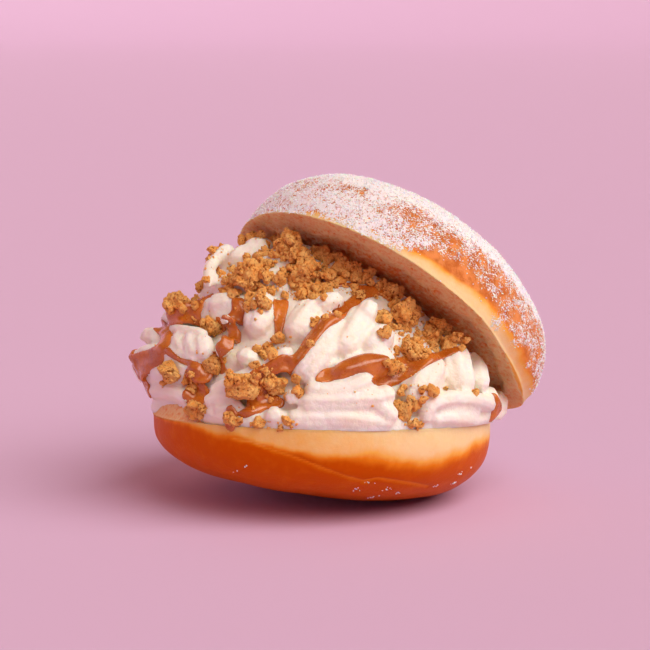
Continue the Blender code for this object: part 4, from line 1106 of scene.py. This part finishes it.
def poured(stops, tree, seed):
    """A thread of caramel draped over whatever lies under it."""
    route = smooth_route(stops, CARAMEL_STEP)
    landed = [landing(tree, angle, rise) for angle, rise, half_width in route]
    places_on = [place for place, out in landed]
    distances = travelled_along(places_on)
    across = np.linspace(-1, 1, CARAMEL_ACROSS)
    rows, outs, widths = [], [], []
    for at, ((place, out), (angle, rise, half_width)) in enumerate(zip(landed, route)):
        before = places_on[max(at - POUR_WAY_STEPS, 0)]
        after = places_on[min(at + POUR_WAY_STEPS, len(landed) - 1)]
        cross = (after - before).normalized().cross(out).normalized()
        to_end = min(distances[at], distances[-1] - distances[at])
        drawn_in = 1 - min(to_end / half_width, 1.0)
        wander = noise.noise(Vector((distances[at] / POUR_WANDER_LENGTH, seed * 3.3, 0.0)))
        width = half_width * (1 + POUR_WANDER * wander)
        width *= max(POUR_TIP_SHARE, math.sqrt(1 - drawn_in ** 2))
        row = []
        for share in across:
            start = place + cross * (width * share)
            hit = tree.ray_cast(start + out * POUR_CLEARANCE, -out)[0]
            if hit is None or (hit - start).dot(out) < -POUR_OVERHANG:
                hit = start - out * POUR_HANGS_DOWN
            row.append(hit)
        rows.append(row)
        outs.append(out)
        widths.append(width)
    bed = np.array([[point[:] for point in row] for row in rows])
    ways = np.array([out[:] for out in outs])[:, None]
    level = bed.copy()
    for spare in range(POUR_LEVELLING):
        level[1:-1] = (level[:-2] + level[1:-1] * 2 + level[2:]) / 4
        level[:, 1:-1] = (level[:, :-2] + level[:, 1:-1] * 2 + level[:, 2:]) / 4
    lift = np.maximum(((level - bed) * ways).sum(axis=2, keepdims=True), 0.0)
    crown = np.sqrt(np.clip(1 - across ** 2, 0, 1))[None, :, None]
    thick = np.array(widths)[:, None, None] * CARAMEL_THICKNESS
    top = bed + ways * (lift * POUR_FILLS + crown * thick + POUR_LIES_OVER)
    bottom = bed - ways * POUR_GOES_UNDER
    return skin_over(np.concatenate([top, bottom[:, ::-1]], axis=1))


def caramel_finish():
    material, paint = finish("caramel", {"Subsurface Weight": 0.3, "Subsurface Scale": 0.0012,
                                         "Subsurface Radius": (1.0, 0.4, 0.12), "Specular IOR Level": 0.5,
                                         "Coat Roughness": 0.12, "Coat IOR": 1.5})
    tone = paint.noise(5.0).step(0.3, 0.7).blend(*CARAMEL_TONES)
    feed(material, {"Base Color": tone, "Roughness": 0.20 + paint.noise(2.0) * 0.14,
                    "Coat Weight": paint.noise(6.0).step(0.2, 0.7) * 0.7}, [(paint.noise(3.0), 0.5)])
    return material


cream_tree = tree_over(base_skin, cream_skin)
pour_parts = [poured(stops, cream_tree, seed) for seed, (name, stops) in enumerate(POURS)]
caramel_mesh = melted("caramel", pour_parts, CARAMEL_VOXEL, CARAMEL_SMOOTHING)
caramel_skin = skin_of(caramel_mesh)
hand_over("caramel", caramel_mesh, caramel_finish(), "whipped_cream")

# Biscuit lumps
# Spiced caramelised biscuit, crushed by hand into lumps as large as berries. Its breaks are flat
# but rough, for it is built up of baked granules; the gaps between them are painted dark as shade.
LUMP_COUNT = 18
LUMP_DETAIL = 5
LUMP_SEED = 400
# The biscuit's colours, and the dark colour painted into its gaps and holes as shade
BISCUIT_LIT = (1.0, 0.62, 0.20)
BISCUIT_DULL = (0.96, 0.38, 0.07)
BISCUIT_PIT_SHADE = (0.36, 0.08, 0.008)
# The granules' size, how deep the gaps between them are and how far they stand out
GRANULES = ((1.0, 0.20, 0.24), (0.45, 0.12, 0.14))
GAP_WIDTH = 0.2
# How dark the gaps between granules are painted, as shade
GAP_SHADE = 0.8
# Granules with a chance value below this have fallen out
MISSING_BELOW = -0.9
# From this radius up, a bit has its granules at full height
FULL_GRANULES_FROM = 2.0
# A bit is broken off by planes at these shares of its radius, and reaches no further than the last
BREAK_COUNT = 9
BREAK_SHARES = (0.5, 0.95)
FURTHEST_SHARE = 1.15
WARP = 0.22
WARP_SIZE_OF_RADIUS = 0.9


def unit_ball(detail):
    bm = bmesh.new()
    bmesh.ops.create_icosphere(bm, subdivisions=detail, radius=1.0)
    bm.verts.index_update()
    points = np.array([vert.co[:] for vert in bm.verts])
    faces = [tuple(vert.index for vert in face.verts) for face in bm.faces]
    bm.free()
    return points, faces


BALLS = {detail: unit_ball(detail) for detail in range(1, LUMP_DETAIL + 1)}


def granules(points, size, seed):
    """How far each point is from a gap between granules, and a chance value for its granule."""
    offset = Vector((seed * 3.7, seed * 1.9, seed * 2.3))
    gaps, chances = [], []
    for point in points:
        distances, middles = noise.voronoi(Vector(point) / size + offset)
        gaps.append(distances[1] - distances[0])
        chances.append(noise.cell(middles[0] * 7.3))
    return np.array(gaps), np.array(chances)


def any_way(dice):
    return Vector((dice.gauss(0, 1), dice.gauss(0, 1), dice.gauss(0, 1)))


def broken_bit(radius, detail, seed):
    """A broken bit of biscuit as points and faces, and how much painted shade each point gets in the gaps and
    holes between granules.
    """
    dice = random.Random(seed)
    ways, faces = BALLS[detail]
    breaks = np.array([any_way(dice).normalized() for spare in range(BREAK_COUNT)])
    depths = np.array([dice.uniform(*BREAK_SHARES) for spare in range(BREAK_COUNT)])
    facing = np.maximum(ways @ breaks.T, NEARLY_NOTHING)
    reach = np.minimum((depths / facing).min(axis=1), FURTHEST_SHARE)
    points = ways * reach[:, None] * radius
    points *= 1 + noise_over(points, radius * WARP_SIZE_OF_RADIUS, seed)[:, None] * WARP
    pit_shades = np.zeros(len(points))
    if detail > 1:
        out = np.zeros(len(points))
        for size, gap_depth, stands_out in GRANULES:
            gaps, chances = granules(points, size, seed)
            in_gap = 1 - eased(gaps, 0.0, GAP_WIDTH)
            missing = chances < MISSING_BELOW
            out += chances * stands_out - in_gap * gap_depth - missing * stands_out
            # Painted shade: dark in the gaps between granules and full where a granule has fallen out
            pit_shades = np.maximum(pit_shades, np.where(missing, 1.0, in_gap * GAP_SHADE))
        points = points + ways * (out * min(1.0, radius / FULL_GRANULES_FROM))[:, None]
    return points, faces, pit_shades


def biscuit_finish():
    material, paint = finish("biscuit", {"Roughness": 0.85, "Specular IOR Level": 0.2})
    tone = (paint.noise(0.7, 4.0, 0.65) * 0.7 + paint.noise(3.0) * 0.5).step(0.42, 0.78)
    # browned is mostly the painted shade in the gaps and holes, with random dark specks from the noise
    browned = (paint.kept("pit") + (paint.noise(0.4) - 0.5) * 1.1).step(0.52, 1.12)
    feed(material, {"Base Color": browned.blend(tone.blend(BISCUIT_LIT, BISCUIT_DULL), BISCUIT_PIT_SHADE)},
         [(paint.noise(0.4, 3.0, 0.75), 0.5)])
    return material


def turned(points, dice):
    return points @ np.array(any_way(dice).to_track_quat("X", "Z").to_matrix()).T


def biscuit_mesh(name, bits):
    mesh = mesh_from(name, *merged([(points, faces) for points, faces, pit_shades in bits]))
    remember(mesh, "pit", np.concatenate([pit_shades for points, faces, pit_shades in bits]))
    return mesh


biscuit_material = biscuit_finish()
skins = [base_skin, cream_skin, caramel_skin]
for number in range(1, LUMP_COUNT + 1):
    node = f"biscuit_{number:02d}"
    lowest, highest = (np.array(corner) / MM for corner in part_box(node))
    dice = random.Random(number)
    radius = float((highest - lowest).mean() / 2)
    points, faces, pit_shades = broken_bit(radius, LUMP_DETAIL, LUMP_SEED + number)
    points = turned(points, dice)
    own_size = points.max(axis=0) - points.min(axis=0)
    points = (points - (points.max(axis=0) + points.min(axis=0)) / 2) * (highest - lowest) / own_size
    lump = biscuit_mesh(node, [(points + (lowest + highest) / 2, faces, pit_shades)])
    skins.append(skin_of(lump))
    hand_over(f"biscuit_lump_{number:02d}", lump, biscuit_material, "biscuit", node)

# Biscuit bits and crumbs
# The same biscuit in smaller pieces, and a dusting of fine crumbs. All of them were dropped on the
# wet cream and stick where they landed, in thick beds under the lid and thinly lower down.
BIT_SUNK = 0.3
# Bits that stand out: compass angle, rise and radius
BITS = [
    (222.5, 0.04, 2.2), (226.5, 0.02, 1.1), (240.5, 0, 2.2), (248.5, 0.01, 1.6), (247, 0, 0.8),
    (250.5, 0.01, 1.1), (258, 0.02, 1.4), (260.5, 0, 1.4), (186.5, 0.71, 1.4), (197.5, 0.79, 1.1),
    (199, 0.77, 0.8), (205, 0.73, 1.1), (191, 0.93, 1.6), (195.5, 0.94, 1.4), (196.5, 0.97, 1.6),
    (197.5, 0.98, 1.6), (201, 0.99, 1.6), (208, 0.97, 1.4), (218.5, 0.88, 1.9), (226, 0.89, 1.9),
    (225.5, 0.86, 1.6), (225.5, 0.82, 1.6), (229, 0.85, 1.9), (230.5, 0.74, 1.9), (228.5, 0.8, 1.6),
    (241, 0.84, 1.6), (233.5, 0.85, 1.6), (227, 0.65, 1.6), (228.5, 0.71, 1.6), (225, 0.71, 1.6),
    (220.5, 0.62, 1.6), (213.5, 0.77, 1.4), (218, 0.67, 1.4), (243.5, 0.9, 1.4), (251, 0.89, 1.6),
    (258, 0.93, 1.1), (264.5, 0.97, 1.6), (268.5, 0.92, 1.4), (274, 0.9, 1.4), (274, 0.56, 2.2),
    (296, 0.89, 1.6), (297, 0.73, 1.9), (306, 0.77, 1.4), (303, 0.9, 1.6), (291, 0.58, 1.6),
    (282, 0.38, 2.2), (282.5, 0.35, 1.1), (289.5, 0.25, 1.6), (298, 0.02, 1.1),
    (301, 0.01, 1.1), (293, 0.18, 1.4), (241, 0.23, 1.4), (238.5, 0.34, 1.6), (241.5, 0.42, 1.4),
    (240.5, 0.37, 1.1), (254, 0.38, 1.1), (253.5, 0.54, 1.1), (249.5, 0.65, 1.1), (256.5, 0.58, 1.1),
    (250.5, 0.52, 1.4), (254.5, 0.23, 1.4), (258, 0.14, 1.1), (248, 0.19, 1.9), (245, 0.21, 1.4),
    (251, 0.21, 1.1), (244, 0.15, 1.4), (238.5, 0.11, 1.4), (236, 0.17, 1.1), (220.5, 0.16, 1.1),
    (217, 0.14, 1.1), (185.5, 0.65, 1.6), (201, 0.43, 1.6), (203.5, 0.45, 1.4), (203, 0.49, 1.6),
    (205.5, 0.48, 1.1), (207.5, 0.42, 1.4), (213.5, 0.41, 1.1), (206.5, 0.16, 0.8), (205, 0.12, 1.1),
    (316.5, 0.28, 1.1), (308, 0.34, 0.8),
]
# Beds of smaller bits: from and to compass angle, from and to rise, how many bits and fine crumbs
BEDS = [
    (190, 198, 0.92, 0.99, 6, 20), (200, 228, 0.80, 0.99, 110, 160), (223, 246, 0.74, 0.99, 120, 160),
    (208, 231, 0.57, 0.80, 90, 150), (225, 244, 0.66, 0.84, 60, 90), (243, 253, 0.88, 0.95, 7, 24),
    (221, 233, 0.50, 0.57, 4, 20), (247, 259, 0.79, 0.87, 6, 24), (262, 275, 0.86, 0.99, 8, 30),
    (270, 298, 0.66, 0.97, 70, 110), (280, 293, 0.46, 0.70, 24, 50), (297, 307, 0.66, 0.90, 24, 50),
    (278, 288, 0.35, 0.40, 5, 24), (288, 299, 0.09, 0.27, 8, 30), (295, 303, 0.01, 0.03, 2, 8),
    (242, 258, 0.13, 0.24, 12, 40), (236, 243, 0.10, 0.16, 5, 20), (216, 221, 0.11, 0.17, 4, 20),
    (218, 228, 0.02, 0.06, 6, 24), (238, 243, -0.03, 0.01, 3, 12), (247, 262, -0.01, 0.02, 6, 16),
    (237, 246, 0.28, 0.43, 8, 40), (249, 253, 0.55, 0.69, 2, 12), (197, 207, 0.41, 0.54, 12, 60),
    (186, 216, 0.64, 0.83, 14, 50), (120, 185, 0.55, 0.92, 24, 60), (200, 300, 0.05, 0.60, 0, 90),
    (226, 275, 0.92, 1.03, 110, 120), (196, 201, 0.70, 0.84, 7, 30),
]
# Places in the beds where the cream shows: compass angle, rise and how far they reach in each
CLEARINGS = [(204, 0.85, 6, 0.05), (223.5, 0.78, 3, 0.05), (230, 0.91, 3, 0.03), (247, 0.67, 4, 0.06)]
# The columns of the beds' counts
BIT_COUNTS = 4
CRUMB_COUNTS = 5
BED_RADII = (0.5, 1.8)
FINE_RADII = (0.15, 0.5)
SMALL_MORE_OFTEN = 1.8
# How finely the bits are modelled, one step finer above the last radius and coarser below the first
BIT_DETAIL = 3
CRUMB_DETAIL = 2
COARSE_BELOW = 0.9
BIT_FINE_ABOVE = 1.5


def scattered(spots, tree, seed):
    """Bits of biscuit dropped at these compass angles and rises, each sunk a little in its bed."""
    dice = random.Random(seed)
    bits = []
    for number, (angle, rise, radius, detail) in enumerate(spots):
        points, faces, pit_shades = broken_bit(radius, detail, seed * 1000 + number)
        place, out = landing(tree, angle, rise)
        if place is None:
            continue
        points = turned(points, dice) + np.array(place + out * (radius * BIT_SUNK))
        if (points > size_low).all() and (points < size_high).all():
            bits.append((points, faces, pit_shades))
    return bits


def drawn_spots(column, radii, detail, seed):
    """Spots drawn at random over the beds, with their count taken from this column."""
    dice = random.Random(seed)
    spots = []
    for bed in BEDS:
        for spare in range(bed[column]):
            angle, rise = dice.uniform(*bed[:2]), dice.uniform(*bed[2:4])
            clear = any(abs(angle - at) < wide and abs(rise - height) < tall
                        for at, height, wide, tall in CLEARINGS)
            if not clear:
                radius = radii[0] + (radii[1] - radii[0]) * dice.random() ** SMALL_MORE_OFTEN
                spots.append((angle, rise, radius, detail if radius > COARSE_BELOW else detail - 1))
    return spots


large_spots = [(angle, rise, radius, BIT_DETAIL + 1 if radius > BIT_FINE_ABOVE else BIT_DETAIL)
               for angle, rise, radius in BITS]
large_bits = scattered(large_spots, tree_over(*skins), 7)
skins += [(points, faces) for points, faces, pit_shades in large_bits]
small_bits = scattered(drawn_spots(BIT_COUNTS, BED_RADII, BIT_DETAIL, 11), tree_over(*skins), 8)
skins += [(points, faces) for points, faces, pit_shades in small_bits]
crumbs = scattered(drawn_spots(CRUMB_COUNTS, FINE_RADII, CRUMB_DETAIL, 12), tree_over(*skins), 9)
bits_mesh = biscuit_mesh("biscuit_bits", large_bits + small_bits)
hand_over("biscuit_bits", bits_mesh, biscuit_material, "biscuit")
hand_over("biscuit_crumbs", biscuit_mesh("biscuit_crumbs", crumbs), biscuit_material, "biscuit")
